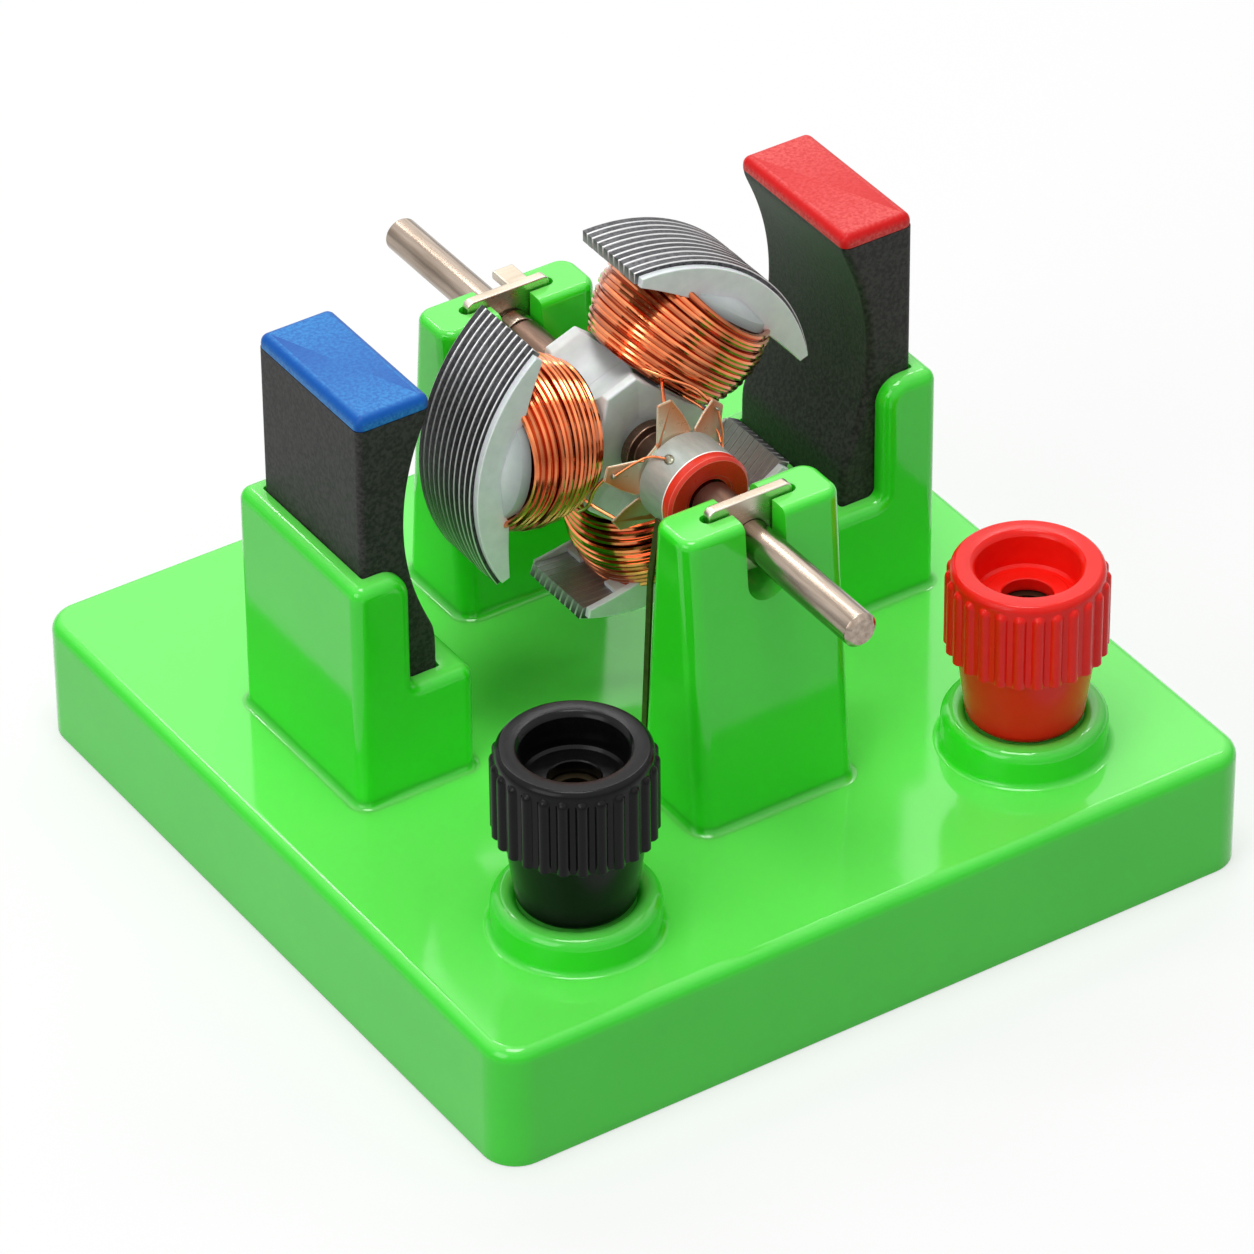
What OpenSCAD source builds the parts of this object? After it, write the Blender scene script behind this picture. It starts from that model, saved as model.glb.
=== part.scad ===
// Demonstration electric motor: a three-pole rotor between two upright magnets,
// carried in two slotted pillars of a moulded base with two screw terminals.
// X runs along the front edge, Y along the shaft towards the rear, Z up.
// The origin is the middle of the base's underside.

/* [Base] */
// Width of the base, along X
base_w = 95; // [90:1:120]
// Depth of the base, along Y
base_d = 94; // [90:1:120]
// Height of the base from its underside to the deck
base_h = 15; // [14:0.5:20]
// Radius of the base's upright corners
base_corner_r = 4; // [2:0.5:8]
// Radius of the edge round the deck
base_edge_r = 1.5; // [0.5:0.1:2.5]
// Thickness of the base's side walls
base_wall = 2.6; // [1.5:0.1:4]
// Thickness of the deck
deck_t = 3; // [2:0.1:4]

/* [Magnets] */
// Thickness of a magnet across its lips, along X
magnet_t = 9; // [7:0.5:11]
// Width of a magnet, along Y
magnet_w = 19.8; // [14:0.2:24]
// Height of the two magnets' tops above the base's underside
magnet_top_z = 61.4; // [56:0.2:68]
// Distance from the middle plane to the lips of a magnet
magnet_lip_x = 25.8; // [25:0.1:28]
// Radius of the hollow face, about the shaft
magnet_face_r = 29.3; // [27:0.1:31]
// Place of the magnets along Y
magnet_y = 8.7; // [4:0.1:12]
// Rounding of a magnet's upright edges
magnet_edge_r = 0.8; // [0.3:0.1:1.5]
// Thickness of the coloured cap on each magnet
cap_t = 1.58; // [1:0.02:3]
// Rounding of the cap's corners and top edge
cap_edge_r = 0.9; // [0.4:0.1:1.2]

/* [Magnet sockets] */
// Thickness of the socket's outer, front and rear walls
socket_wall = 2.1; // [1.5:0.1:4]
// Thickness of the low wall that faces the rotor
socket_low_wall = 3.2; // [2:0.1:4]
// Height of the socket's high part above the deck
socket_high_h = 28.2; // [20:0.2:34]
// Height of the socket's low part above the deck
socket_low_h = 13.3; // [9:0.1:16]
// Length of the high part, along X
socket_high_len = 7; // [5:0.1:9]
// Thickness of the floor under a magnet, above the deck
socket_floor = 2; // [1:0.1:4]
// Radius of the socket's upright corners
socket_corner_r = 1.8; // [1:0.1:3]
// Radius of the socket's top edges
socket_edge_r = 1.1; // [0.5:0.1:1.5]
// Radius of the high part's shoulder, above the step
shoulder_r = 3; // [1:0.1:4]

/* [Bearing pillars] */
// Width of a pillar, along X
pillar_w = 19.8; // [16:0.2:26]
// Depth of a pillar at its foot
pillar_foot_d = 12.4; // [10:0.2:14]
// Depth of a pillar at its top
pillar_top_d = 6.6; // [5.4:0.2:8]
// Height of a pillar above the deck
pillar_h = 35.8; // [34.4:0.2:37]
// Place of the front pillar along Y
front_pillar_y = -21.2; // [-22:0.1:-20.6]
// Place of the rear pillar along Y
rear_pillar_y = 25.2; // [24:0.1:27]
// Radius of the pillars' upright corners
pillar_corner_r = 2; // [1:0.1:2.6]
// Radius of the pillars' top edges
pillar_edge_r = 1; // [0.5:0.1:1.2]
// Width of the open slot for the shaft
shaft_slot_w = 5; // [4.6:0.1:6]
// Depth of the open slot below the shaft's centre
shaft_slot_drop = 6; // [5.4:0.1:8]

/* [Bearing plates] */
// Width of a bearing plate, along X
plate_w = 10.4; // [9:0.1:12]
// Height of a bearing plate
plate_h = 9.3; // [8.6:0.1:9.6]
// Thickness of a bearing plate
plate_t = 1.2; // [0.8:0.1:1.6]
// Distance from the shaft's centre up to the plate's top edge
plate_rise = 4.9; // [4:0.1:5.2]
// Clearance of a plate in its slots, each side
plate_gap = 0.05; // [0.02:0.01:0.1]
// Width of the lug bent back from the rear plate
lug_w = 2.6; // [2:0.1:3]
// Length of the lug bent back from the rear plate
lug_len = 3; // [2:0.1:4]
// Distance from the middle plane to the lug
lug_x = 0.5; // [0:0.1:1]

/* [Shaft] */
// Height of the shaft's centre above the base's underside
shaft_z = 47; // [46.4:0.1:47.6]
// Radius of the shaft
shaft_r = 2; // [1.5:0.05:2.2]
// Distance from the origin to the shaft's front end
shaft_front = 42.2; // [38:0.2:50]
// Distance from the origin to the shaft's rear end
shaft_rear = 47; // [40:0.2:50]
// Chamfer at the ends of the shaft
shaft_chamfer = 0.5; // [0.2:0.1:0.8]
// Running clearance of the shaft in the bearing plates
bearing_gap = 0.05; // [0.02:0.01:0.1]
// End float between a spacer and the bearing plate beside it
end_float = 0.3; // [0.2:0.05:0.5]
// Outer radius of the spacers on the shaft
spacer_r = 2.35; // [2.3:0.05:3]
// Length of the thrust collar beside the rear plate
thrust_len = 2; // [1:0.1:3]

/* [Rotor core] */
// Outer radius of the core
core_r = 21.6; // [20:0.1:23]
// Length of the lamination stack
core_len = 10; // [8:0.5:12]
// Place of the middle of the stack along Y
core_y = 3.8; // [3:0.1:5]
// Number of laminations
lamination_count = 10; // [6:1:14]
// Turn of the rotor at rest
rotor_turn = -10; // [-60:1:60]
// Half the angle that a pole shoe covers
shoe_half_angle = 42; // [36:1:48]
// Thickness of a shoe at its middle
shoe_mid_t = 3.3; // [2.5:0.1:4]
// Thickness of a shoe at its tips
shoe_tip_t = 1.4; // [1:0.1:2]
// Width of the tooth that carries a winding
tooth_w = 5; // [4:0.1:6]
// Radius of the core's hub
core_hub_r = 5.6; // [4.5:0.1:6]
// Width of the groove between two laminations
groove_w = 0.16; // [0.1:0.02:0.3]
// Depth of the groove between two laminations
groove_depth = 0.3; // [0.1:0.05:0.5]

/* [Insulators] */
// Thickness of an end plate over the core's face
end_t = 0.8; // [0.5:0.1:1.2]
// Distance from the shaft to the hub's three long faces
hub_face_r = 6.2; // [6:0.1:6.4]
// Distance from the shaft to the hub's three short faces
hub_tip_r = 9; // [8:0.1:9.6]
// Length of the hub in front of its end plate
hub_boss_len = 0.2; // [0.1:0.1:1]
// Distance from the shaft to the short faces at the hub's waist, between the two end plates
hub_waist_r = 7.2; // [6.8:0.1:8]
// Thickness of the flange between a shoe and its winding
flange_t = 0.5; // [0.3:0.1:0.8]
// Length of the flange along the shaft, from the core's face inwards
flange_len = 2.6; // [1.5:0.1:4]
// How far the end plate stands back from the core's outline
end_inset = 0.25; // [0.1:0.05:0.5]

/* [Windings] */
// Distance from the shaft to the inner end of a winding
wind_from = 6.6; // [6.5:0.1:7.4]
// Distance from the shaft to the outer end of a winding
wind_to = 16.4; // [15.8:0.1:16.6]
// Outer radius of a winding at its fullest
wind_r = 9.7; // [8.6:0.1:9.9]
// Place of the fullest turn, from the shaft
wind_full_s = 12.5; // [10:0.1:14]
// How much smaller the inner end of a winding is than its middle
wind_drop = 2; // [1:0.1:2.5]
// Number of turns in the outer layer
turn_count = 10; // [6:1:10]
// Diameter of the wire
wire_d = 0.5; // [0.4:0.02:0.52]
// Radius of the leads
lead_r = 0.25; // [0.2:0.01:0.35]

/* [Commutator] */
// Outer radius of the commutator
comm_r = 5.1; // [4.6:0.1:5.6]
// Length of the commutator's segments
comm_len = 4.4; // [4:0.1:5]
// Distance from the origin to the rear face of the segments
comm_back = 8.4; // [8.2:0.1:9]
// Thickness of the segments
segment_t = 1.1; // [0.8:0.1:1.6]
// Width of the gap between two segments
segment_gap = 0.5; // [0.3:0.1:1]
// Thickness of the red ring at the front
ring_t = 1.4; // [1:0.1:1.6]
// Thickness of the riser tabs
riser_t = 0.4; // [0.3:0.05:0.5]
// Distance from the shaft to the tips of the riser tabs
riser_tip_r = 8.6; // [7.8:0.1:9]
// Angle at which the riser tabs lean back from the segments
riser_lean = 25; // [15:1:26]

/* [Brushes] */
// Thickness of a brush strip
brush_t = 0.3; // [0.2:0.05:0.4]
// Width of a brush strip
brush_w = 2.8; // [2:0.1:3]
// Distance from the middle plane to the slot of a brush in the deck
brush_foot_x = 7.6; // [7:0.1:8]
// Drop from the shaft's centre to the tip of a brush
brush_tip_drop = 1.8; // [1.2:0.1:2.5]
// Length of the brush's foot under the deck
brush_foot_len = 5.5; // [4:0.1:7]
// Clearance between a brush and the turning commutator
brush_gap = 0.05; // [0.02:0.01:0.1]

/* [Terminals] */
// Distance from a side of the base to the terminal beside it
terminal_side_inset = 19; // [16:0.1:21]
// Distance from the front of the base to the terminals
terminal_front_inset = 15.2; // [13:0.1:17]
// Radius of the collar at the deck
collar_r = 9; // [8.8:0.1:10]
// Height of the collar above the deck
collar_h = 4.3; // [4:0.1:5]
// Height of the seat inside the collar, above the deck
seat_h = 3.4; // [3:0.1:3.8]
// Outer radius of the threaded stud
stud_r = 3; // [2.9:0.05:3.2]
// Radius of the plug socket in the stud
plug_r = 2; // [1.5:0.05:2]
// Depth of the plug socket
plug_depth = 12; // [8:0.5:12]
// Height of the insulating bush
bush_h = 9.15; // [7:0.05:11]
// Radius of the bush at its foot
bush_foot_r = 6; // [5.4:0.1:6.2]
// Radius of the bush at its top
bush_top_r = 7.1; // [6.6:0.1:7.4]
// Height of the screw cap
screw_cap_h = 10.4; // [9.4:0.1:12]
// Radius of the screw cap over its flutes
screw_cap_r = 8.8; // [8.4:0.1:9.4]
// Number of flutes round the screw cap
flute_count = 28; // [20:1:32]
// Radius of the recess in the top of the screw cap
recess_r = 5.5; // [5:0.1:6]
// Depth of the recess in the top of the screw cap
recess_depth = 4.4; // [4.3:0.1:5]
// Radius of the inner lead under the deck
hookup_r = 0.8; // [0.5:0.1:1.2]

/* [Hidden] */
$fn = 64;

// Overrun of a cut past the face that it opens
cut_over = 1;
// Clearance of pieces that are pressed or seated together
seat_gap = 0.02;
// Thickness of a foot slice inside a hull
foot_slice = 0.1;
// How much fuller the elbow of a wire is than the wire
elbow_swell = 0.02;

// Magnets and sockets
pocket_gap = 0.1;
magnet_out_x = magnet_lip_x + magnet_t;
magnet_floor_z = base_h + socket_floor;
socket_out_x = magnet_out_x + pocket_gap + socket_wall;
socket_in_x = magnet_lip_x - pocket_gap - socket_low_wall;
socket_d = magnet_w + 2 * (pocket_gap + socket_wall);

// Places of the terminals, from the middle plane and from the origin towards the front
terminal_x = base_w / 2 - terminal_side_inset;
terminal_front = base_d / 2 - terminal_front_inset;

// Shaft: the fine relief where each free end begins, and how far its outer side lies past a pillar's middle
relief_depth = 0.2;
relief_w = 0.5;
relief_run = 3.9;

// Bearing plates
plate_top_z = shaft_z + plate_rise;
plate_foot_z = plate_top_z - plate_h;
plate_bevel = 0.6;
lug_under_z = base_h + pillar_h + seat_gap;

// Rotor
shoe_mid_r = core_r - shoe_mid_t;
shoe_tip_s = (core_r - shoe_tip_t) * cos(shoe_half_angle);
shoe_tip_half = (core_r - shoe_tip_t) * sin(shoe_half_angle);
shoe_rise = shoe_mid_r - shoe_tip_s;
shoe_in_r = (shoe_rise * shoe_rise + shoe_tip_half * shoe_tip_half) / (2 * shoe_rise);
core_front_y = core_y - core_len / 2;
core_rear_y = core_y + core_len / 2;
flange_half_angle = shoe_half_angle - 8;
hub_front_y = core_front_y - end_t - hub_boss_len;
hub_rear_y = core_rear_y + end_t + hub_boss_len;
comm_front = comm_back + comm_len;
ring_front = comm_front + ring_t;
sleeve_r = comm_r - segment_t;
pole_angles = [for (k = [0:2]) 180 + rotor_turn - 120 * k];
riser_lag = 40;
riser_spread = 35;
riser_bend_step = 0.1;
riser_step = 0.25;
riser_valley_step = 0.45;
riser_bend_r = comm_r + riser_bend_step;
riser_root_r = comm_r + riser_step;
riser_valley_r = comm_r + riser_valley_step;
riser_half_angle = 57;
tip_half_angle = 6;
hub_flange_r = 3.3;
hub_flange_len = 1.2;
lead_turn = 24;
lead_gap = 0.05;
wind_skin = 0.12;

// Brushes
brush_y = -comm_back - comm_len / 2 - riser_t;
brush_tip_x = sqrt(pow(comm_r + brush_gap, 2) - pow(brush_tip_drop, 2));
brush_knee_x = 6.4;
brush_knee_drop = 9;
slot_gap = 0.1;
deck_under_z = base_h - deck_t;

// Terminals
stud_gap = 0.05;
stud_low = 7;
lip_r = 0.75;
dish_r = 7;
washer_r = 5.6;
washer_t = 0.8;
lug_t = 0.5;
lug_ring_r = 5;
lug_tail_w = 3;
lug_tail_len = 10;
nut_across_r = 5.77;
nut_t = 3.2;
seat_z = base_h + seat_h;
bush_top_z = seat_z + bush_h;
screw_foot_z = bush_top_z + stud_gap;
screw_top_z = screw_foot_z + screw_cap_h;
recess_floor_z = screw_top_z - recess_depth;
recess_ring_r = 4.4;
recess_ring_h = 0.4;
recess_chamfer = 0.6;
cap_hole_r = 2.8;
cap_rim_r = 1;
cap_flat_r = 7.6;
flute_r = 0.62;
flute_core_r = screw_cap_r - 0.8 * flute_r;
insert_r = 4.5;
insert_h = 4.4;
insert_inset = 0.2;
cap_floor_t = 1.6;
stud_top_z = recess_floor_z + recess_ring_h - cap_floor_t - stud_gap;
notch_w = 4;
notch_h = 0.6;
notch_depth = 0.6;
notch_turn = 240;
hookup_drop = 3.6;
hookup_inset = 1;
hookup_foot_x = brush_foot_x + brush_foot_len - hookup_inset;
hookup_turn = atan2(terminal_front + brush_y, terminal_x - hookup_foot_x);

// Colours
green = "limegreen";
ferrite = [0.22, 0.21, 0.21];
steel = [0.68, 0.65, 0.6];
copper = [0.78, 0.42, 0.2];
white = [0.85, 0.88, 0.87];
brass = [0.8, 0.68, 0.36];

// Flat outlines

module round_rect(w, d, r) {
  square([w - 2 * r, d], center = true);
  square([w, d - 2 * r], center = true);
  for (sx = [-1, 1], sy = [-1, 1]) translate([sx * (w / 2 - r), sy * (d / 2 - r)]) circle(r);
}

// Upright outline on the line y = 0, with its two top corners rounded
module round_top(w, h, r) {
  translate([-w / 2, 0]) square([w, h - r]);
  translate([-w / 2 + r, 0]) square([w - 2 * r, h]);
  for (s = [-1, 1]) translate([s * (w / 2 - r), h - r]) circle(r);
}

module wedge(half_angle, r) {
  polygon([[0, 0], [r, -r * tan(half_angle)], [r, r * tan(half_angle)]]);
}

// Solids that several pieces use

// Block with rounded upright corners and rounded top edges, standing on z = 0
module soft_block(w, d, h, corner, edge) {
  intersection() {
    linear_extrude(h) round_rect(w, d, corner);
    translate([0, d / 2 + cut_over, 0]) rotate([90, 0, 0])
      linear_extrude(d + 2 * cut_over) round_top(w, h, edge);
    translate([-w / 2 - cut_over, 0, 0]) rotate([90, 0, 90])
      linear_extrude(w + 2 * cut_over) round_top(d, h, edge);
  }
}

// Extrudes an outline seen from the front, drawn about the shaft, between two places along Y
module along_shaft(from, to) {
  translate([0, to, shaft_z]) rotate([90, 0, 0]) linear_extrude(to - from) children();
}

module sleeve(inner, outer, from, to) {
  along_shaft(from, to) difference() {
    circle(outer);
    circle(inner);
  }
}

// Places a piece drawn with its pole along +X about the middle of the core
module at_pole(k) {
  translate([0, core_y, shaft_z]) rotate([0, -pole_angles[k], 0]) children();
}

module at_terminal(side) {
  translate([side * terminal_x, -terminal_front, 0]) children();
}

module ring_solid(inner, outer, from, to) {
  translate([0, 0, from]) difference() {
    cylinder(h = to - from, r = outer);
    translate([0, 0, -cut_over]) cylinder(h = to - from + 2 * cut_over, r = inner);
  }
}

// Moulded base

// Ring wall that the bush stands in: leaning outside, round lip, shallow dish
module collar() {
  lip_x = dish_r + lip_r;
  rotate_extrude() {
    polygon([
      [stud_r + stud_gap, -deck_t], [stud_r + stud_gap, seat_h], [bush_foot_r + lip_r / 2, seat_h],
      [dish_r, collar_h - lip_r / 3], [lip_x, collar_h - lip_r], [lip_x + lip_r, collar_h - lip_r],
      [collar_r, 0], [collar_r, -deck_t]
    ]);
    translate([lip_x, collar_h - lip_r]) circle(lip_r);
  }
}

module base_plate() {
  inner_w = base_w - 2 * base_wall;
  inner_d = base_d - 2 * base_wall;
  slot_w = brush_t + 2 * slot_gap;
  slot_d = brush_w + 2 * slot_gap;
  color(green) difference() {
    union() {
      difference() {
        soft_block(base_w, base_d, base_h, base_corner_r, base_edge_r);
        translate([0, 0, -cut_over]) linear_extrude(deck_under_z + cut_over)
          round_rect(inner_w, inner_d, base_corner_r - base_wall / 2);
        for (side = [-1, 1]) at_terminal(side) translate([0, 0, deck_under_z - cut_over])
          cylinder(h = deck_t + 2 * cut_over, r = collar_r - lip_r);
      }
      for (side = [-1, 1]) at_terminal(side) translate([0, 0, base_h]) collar();
    }
    for (side = [-1, 1])
      translate([side * brush_foot_x - slot_w / 2, brush_y - slot_d / 2, deck_under_z - cut_over])
        cube([slot_w, slot_d, deck_t + 2 * cut_over]);
  }
}

// Pocket for one magnet: high on the outside, low where it faces the rotor
module magnet_socket(side) {
  len_all = socket_out_x - socket_in_x;
  mid_x = (socket_out_x + socket_in_x) / 2;
  high_mid_x = socket_out_x - socket_high_len / 2;
  high_in_x = socket_out_x - socket_high_len;
  pocket_x = magnet_t + 2 * pocket_gap;
  pocket_y = magnet_w + 2 * pocket_gap;
  color(green) mirror([side < 0 ? 1 : 0, 0, 0]) translate([0, magnet_y, base_h]) difference() {
    union() {
      translate([mid_x, 0, 0])
        soft_block(len_all, socket_d, socket_low_h, socket_corner_r, socket_edge_r);
      intersection() {
        translate([high_mid_x, 0, 0])
          soft_block(socket_high_len, socket_d, socket_high_h, socket_corner_r, socket_edge_r);
        translate([0, socket_d, 0]) rotate([90, 0, 0]) linear_extrude(2 * socket_d) {
          translate([high_in_x, 0]) square([socket_high_len, socket_high_h - shoulder_r]);
          translate([high_in_x + shoulder_r, 0]) square([socket_high_len - shoulder_r, socket_high_h]);
          translate([high_in_x + shoulder_r, socket_high_h - shoulder_r]) circle(shoulder_r);
        }
      }
    }
    translate([magnet_lip_x - pocket_gap, -pocket_y / 2, socket_floor])
      cube([pocket_x, pocket_y, socket_high_h + cut_over]);
  }
}

// Peg with a rounded top edge, the corner of a pillar's top
module soft_peg(r, edge) {
  rotate_extrude($fn = 32) {
    square([r, edge / 2]);
    square([r - edge, edge]);
    intersection() {
      translate([r - edge, 0]) circle(edge, $fn = 32);
      square([r, edge]);
    }
  }
}

// Leaning pillar with an open slot for the shaft and a slot for the bearing plate
module bearing_pillar(pillar_y, plate_y) {
  corner_x = pillar_w / 2 - pillar_corner_r;
  slot_z = shaft_z - shaft_slot_drop + shaft_slot_w / 2;
  color(green) difference() {
    translate([0, pillar_y, base_h]) hull() for (sx = [-1, 1], sy = [-1, 1]) {
      translate([sx * corner_x, sy * (pillar_foot_d / 2 - pillar_corner_r), 0])
        cylinder(h = foot_slice, r = pillar_corner_r, $fn = 32);
      translate([sx * corner_x, sy * (pillar_top_d / 2 - pillar_corner_r), pillar_h - pillar_edge_r])
        soft_peg(pillar_corner_r, pillar_edge_r);
    }
    translate([0, pillar_y + pillar_foot_d, slot_z]) rotate([90, 0, 0])
      cylinder(h = 2 * pillar_foot_d, d = shaft_slot_w);
    translate([-shaft_slot_w / 2, pillar_y - pillar_foot_d, slot_z])
      cube([shaft_slot_w, 2 * pillar_foot_d, base_h + pillar_h]);
    translate([-plate_w / 2 - plate_gap, plate_y - plate_t / 2 - plate_gap, plate_foot_z - seat_gap])
      cube([plate_w + 2 * plate_gap, plate_t + 2 * plate_gap, plate_h + pillar_h]);
  }
}

// Bearing plates, magnets and caps

module bearing_plate(plate_y) {
  rise = plate_top_z - shaft_z;
  fall = shaft_z - plate_foot_z;
  half = plate_w / 2;
  along_shaft(plate_y - plate_t / 2, plate_y + plate_t / 2) difference() {
    polygon([
      [-half, -fall], [half, -fall], [half, rise - plate_bevel], [half - plate_bevel, rise],
      [-half + plate_bevel, rise], [-half, rise - plate_bevel]
    ]);
    circle(shaft_r + bearing_gap);
  }
}

module bearing_plate_front() {
  color(steel) bearing_plate(front_pillar_y);
}

module bearing_plate_rear() {
  color(steel) {
    bearing_plate(rear_pillar_y);
    translate([lug_x, rear_pillar_y, lug_under_z]) cube([lug_w, plate_t / 2 + lug_len, plate_top_z - lug_under_z]);
  }
}

module magnet(side) {
  mid_x = (magnet_lip_x + magnet_out_x) / 2;
  color(ferrite) mirror([side < 0 ? 1 : 0, 0, 0]) difference() {
    translate([mid_x, magnet_y, magnet_floor_z]) linear_extrude(magnet_top_z - magnet_floor_z)
      round_rect(magnet_t, magnet_w, magnet_edge_r);
    along_shaft(magnet_y - magnet_w, magnet_y + magnet_w) circle(magnet_face_r, $fn = 128);
  }
}

module magnet_cap(side) {
  mid_x = (magnet_lip_x + magnet_out_x) / 2;
  translate([side * mid_x, magnet_y, magnet_top_z + seat_gap])
    soft_block(magnet_t, magnet_w, cap_t, cap_edge_r, cap_edge_r);
}

// Rotor

// Pole shoe seen from the front, with its pole along +X; inset draws its outline in
module shoe_outline(inset) {
  intersection() {
    difference() {
      circle(core_r - inset, $fn = 128);
      translate([shoe_mid_r - shoe_in_r, 0]) circle(shoe_in_r, $fn = 128);
    }
    wedge(shoe_half_angle - atan(inset / core_r), core_r + cut_over);
  }
}

// Band along the shoe's inner face; lap is how far it reaches over the shoe
module flange_outline(lap) {
  intersection() {
    translate([shoe_mid_r - shoe_in_r, 0]) difference() {
      circle(shoe_in_r + lap, $fn = 128);
      circle(shoe_in_r - seat_gap - flange_t, $fn = 128);
    }
    wedge(flange_half_angle, core_r);
  }
}

module core_outline() {
  circle(core_hub_r);
  for (a = pole_angles) rotate(a) {
    shoe_outline(0);
    translate([0, -tooth_w / 2]) square([shoe_mid_r + seat_gap, tooth_w]);
  }
}

// Three long faces square to the poles
module hub_long_faces() {
  rotate(pole_angles[0] + 60) circle(2 * hub_face_r, $fn = 3);
}

// The long faces and three short ones between them
module hub_outline() {
  intersection() {
    hub_long_faces();
    rotate(pole_angles[0]) circle(2 * hub_tip_r, $fn = 3);
  }
}

// Side view of the hub between two poles, narrowing from its end plate to its waist, cut across the gap
module hub_side(k, from, to) {
  translate([0, 0, shaft_z]) rotate([0, 60 - pole_angles[k], 0]) translate([0, 0, -2 * core_r])
    linear_extrude(4 * core_r)
      polygon([[-2 * core_r, from], [hub_tip_r, from], [hub_waist_r, to], [-2 * core_r, to]]);
}

// Hub between the front end plate and its waist at the middle of the stack
module hub_half(from, to) {
  intersection() {
    along_shaft(from, to) difference() {
      hub_long_faces();
      circle(core_hub_r + seat_gap);
      for (a = pole_angles) rotate(a)
        translate([0, -tooth_w / 2 - seat_gap]) square([core_r, tooth_w + 2 * seat_gap]);
    }
    hub_side(0, from, to);
    hub_side(1, from, to);
    hub_side(2, from, to);
  }
}

module core_stack() {
  pitch = core_len / lamination_count;
  color([0.4, 0.4, 0.4]) difference() {
    along_shaft(core_front_y, core_rear_y) difference() {
      core_outline();
      circle(shaft_r + seat_gap);
    }
    for (i = [1:lamination_count - 1])
      sleeve(core_r - groove_depth, core_r + cut_over,
        core_front_y + i * pitch - groove_w / 2, core_front_y + i * pitch + groove_w / 2);
  }
}

// End plate with its hub, slot liners and shoe flanges; it is the front one
module insulator() {
  middle_gap = seat_gap;
  along_shaft(core_front_y - end_t, core_front_y - seat_gap) difference() {
    union() {
      hub_outline();
      for (a = pole_angles) rotate(a) {
        shoe_outline(end_inset);
        flange_outline(end_inset);
        translate([0, -tooth_w / 2]) square([shoe_mid_r + end_inset, tooth_w]);
      }
    }
    circle(shaft_r + seat_gap);
  }
  along_shaft(hub_front_y, core_front_y - end_t) difference() {
    hub_outline();
    circle(shaft_r + seat_gap);
  }
  hub_half(core_front_y - end_t / 2, core_y - middle_gap);
  along_shaft(core_front_y - end_t, core_front_y + flange_len) for (a = pole_angles) rotate(a) difference() {
    flange_outline(-seat_gap);
    translate([0, -tooth_w / 2 - seat_gap]) square([core_r, tooth_w + 2 * seat_gap]);
  }
}

// Windings: a barrel round the tooth, and the outer layer of turns over it

function barrel_r(s) = wind_r - wind_drop * pow((s - wind_full_s) / (wind_full_s - wind_from), 2);

module winding_core(k) {
  steps = 10;
  under = wire_d + wind_skin;
  step = (wind_to - wind_from) / steps;
  hole_y = core_len + 2 * end_t + 2 * seat_gap;
  hole_z = tooth_w + 2 * seat_gap;
  color(copper) at_pole(k) difference() {
    rotate([0, 90, 0]) rotate_extrude() polygon(concat(
      [[0, wind_from]],
      [for (i = [0:steps]) [barrel_r(wind_from + i * step) - under, wind_from + i * step]],
      [[0, wind_to]]
    ));
    translate([0, -hole_y / 2, -hole_z / 2]) cube([core_r, hole_y, hole_z]);
  }
}

rings_a_turn = 24;
ring_sides = 6;
turn_pitch = (wind_to - wind_from - wire_d) / turn_count;
start_angle = 45;

// Centre, radial and axial unit vectors of the wire at one place of the helix
function turn_angle(i) = start_angle + 360 * i / rings_a_turn;
function turn_s(i) = wind_from + wire_d / 2 + turn_pitch * i / rings_a_turn;
function turn_out(i) = [0, cos(turn_angle(i)), sin(turn_angle(i))];
function turn_on(i) = [0, -sin(turn_angle(i)), cos(turn_angle(i))];
function turn_centre(i) = [turn_s(i), 0, 0] + (barrel_r(turn_s(i)) - wire_d / 2) * turn_out(i);
function wire_ring(centre, u, v) = [for (j = [0:ring_sides - 1])
  centre + wire_d / 2 * (cos(360 * j / ring_sides) * u + sin(360 * j / ring_sides) * v)];

// One unbroken tube: it rises from the hub's face, winds to the outer end and runs on to the flange
last_ring = turn_count * rings_a_turn;
along = [1, 0, 0];
end_run = wire_d + seat_gap;
wire_rings = concat(
  [wire_ring(turn_centre(0) - end_run * along, turn_out(0), -turn_on(0))],
  [wire_ring(turn_centre(0), turn_out(0), along - turn_on(0))],
  [for (i = [1:last_ring - 1]) wire_ring(turn_centre(i), turn_out(i), along)],
  [wire_ring(turn_centre(last_ring), turn_out(last_ring), along - turn_on(last_ring))],
  [wire_ring(turn_centre(last_ring) + end_run * along, turn_out(last_ring), -turn_on(last_ring))]
);

function tube_faces(rings, sides) = concat(
  [for (i = [0:rings - 2], j = [0:sides - 1])
    [i * sides + j, i * sides + (j + 1) % sides, (i + 1) * sides + j]],
  [for (i = [0:rings - 2], j = [0:sides - 1])
    [i * sides + (j + 1) % sides, (i + 1) * sides + (j + 1) % sides, (i + 1) * sides + j]],
  [for (j = [1:sides - 2]) [0, j + 1, j]],
  [for (j = [1:sides - 2]) [(rings - 1) * sides, (rings - 1) * sides + j, (rings - 1) * sides + j + 1]]
);

// Least gap between neighbouring turns, measured on the wire's centre points
turn_gaps = [for (i = [0:last_ring - rings_a_turn], j = [-2:2])
  if (i + rings_a_turn + j <= last_ring) norm(turn_centre(i + rings_a_turn + j) - turn_centre(i)) - wire_d];
echo(least_gap_between_turns = min(turn_gaps), turns = turn_count);

module winding(k) {
  points = [for (ring = wire_rings, p = ring) p];
  color(copper) at_pole(k) polyhedron(points, tube_faces(len(wire_rings), ring_sides), convexity = 10);
}

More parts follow.
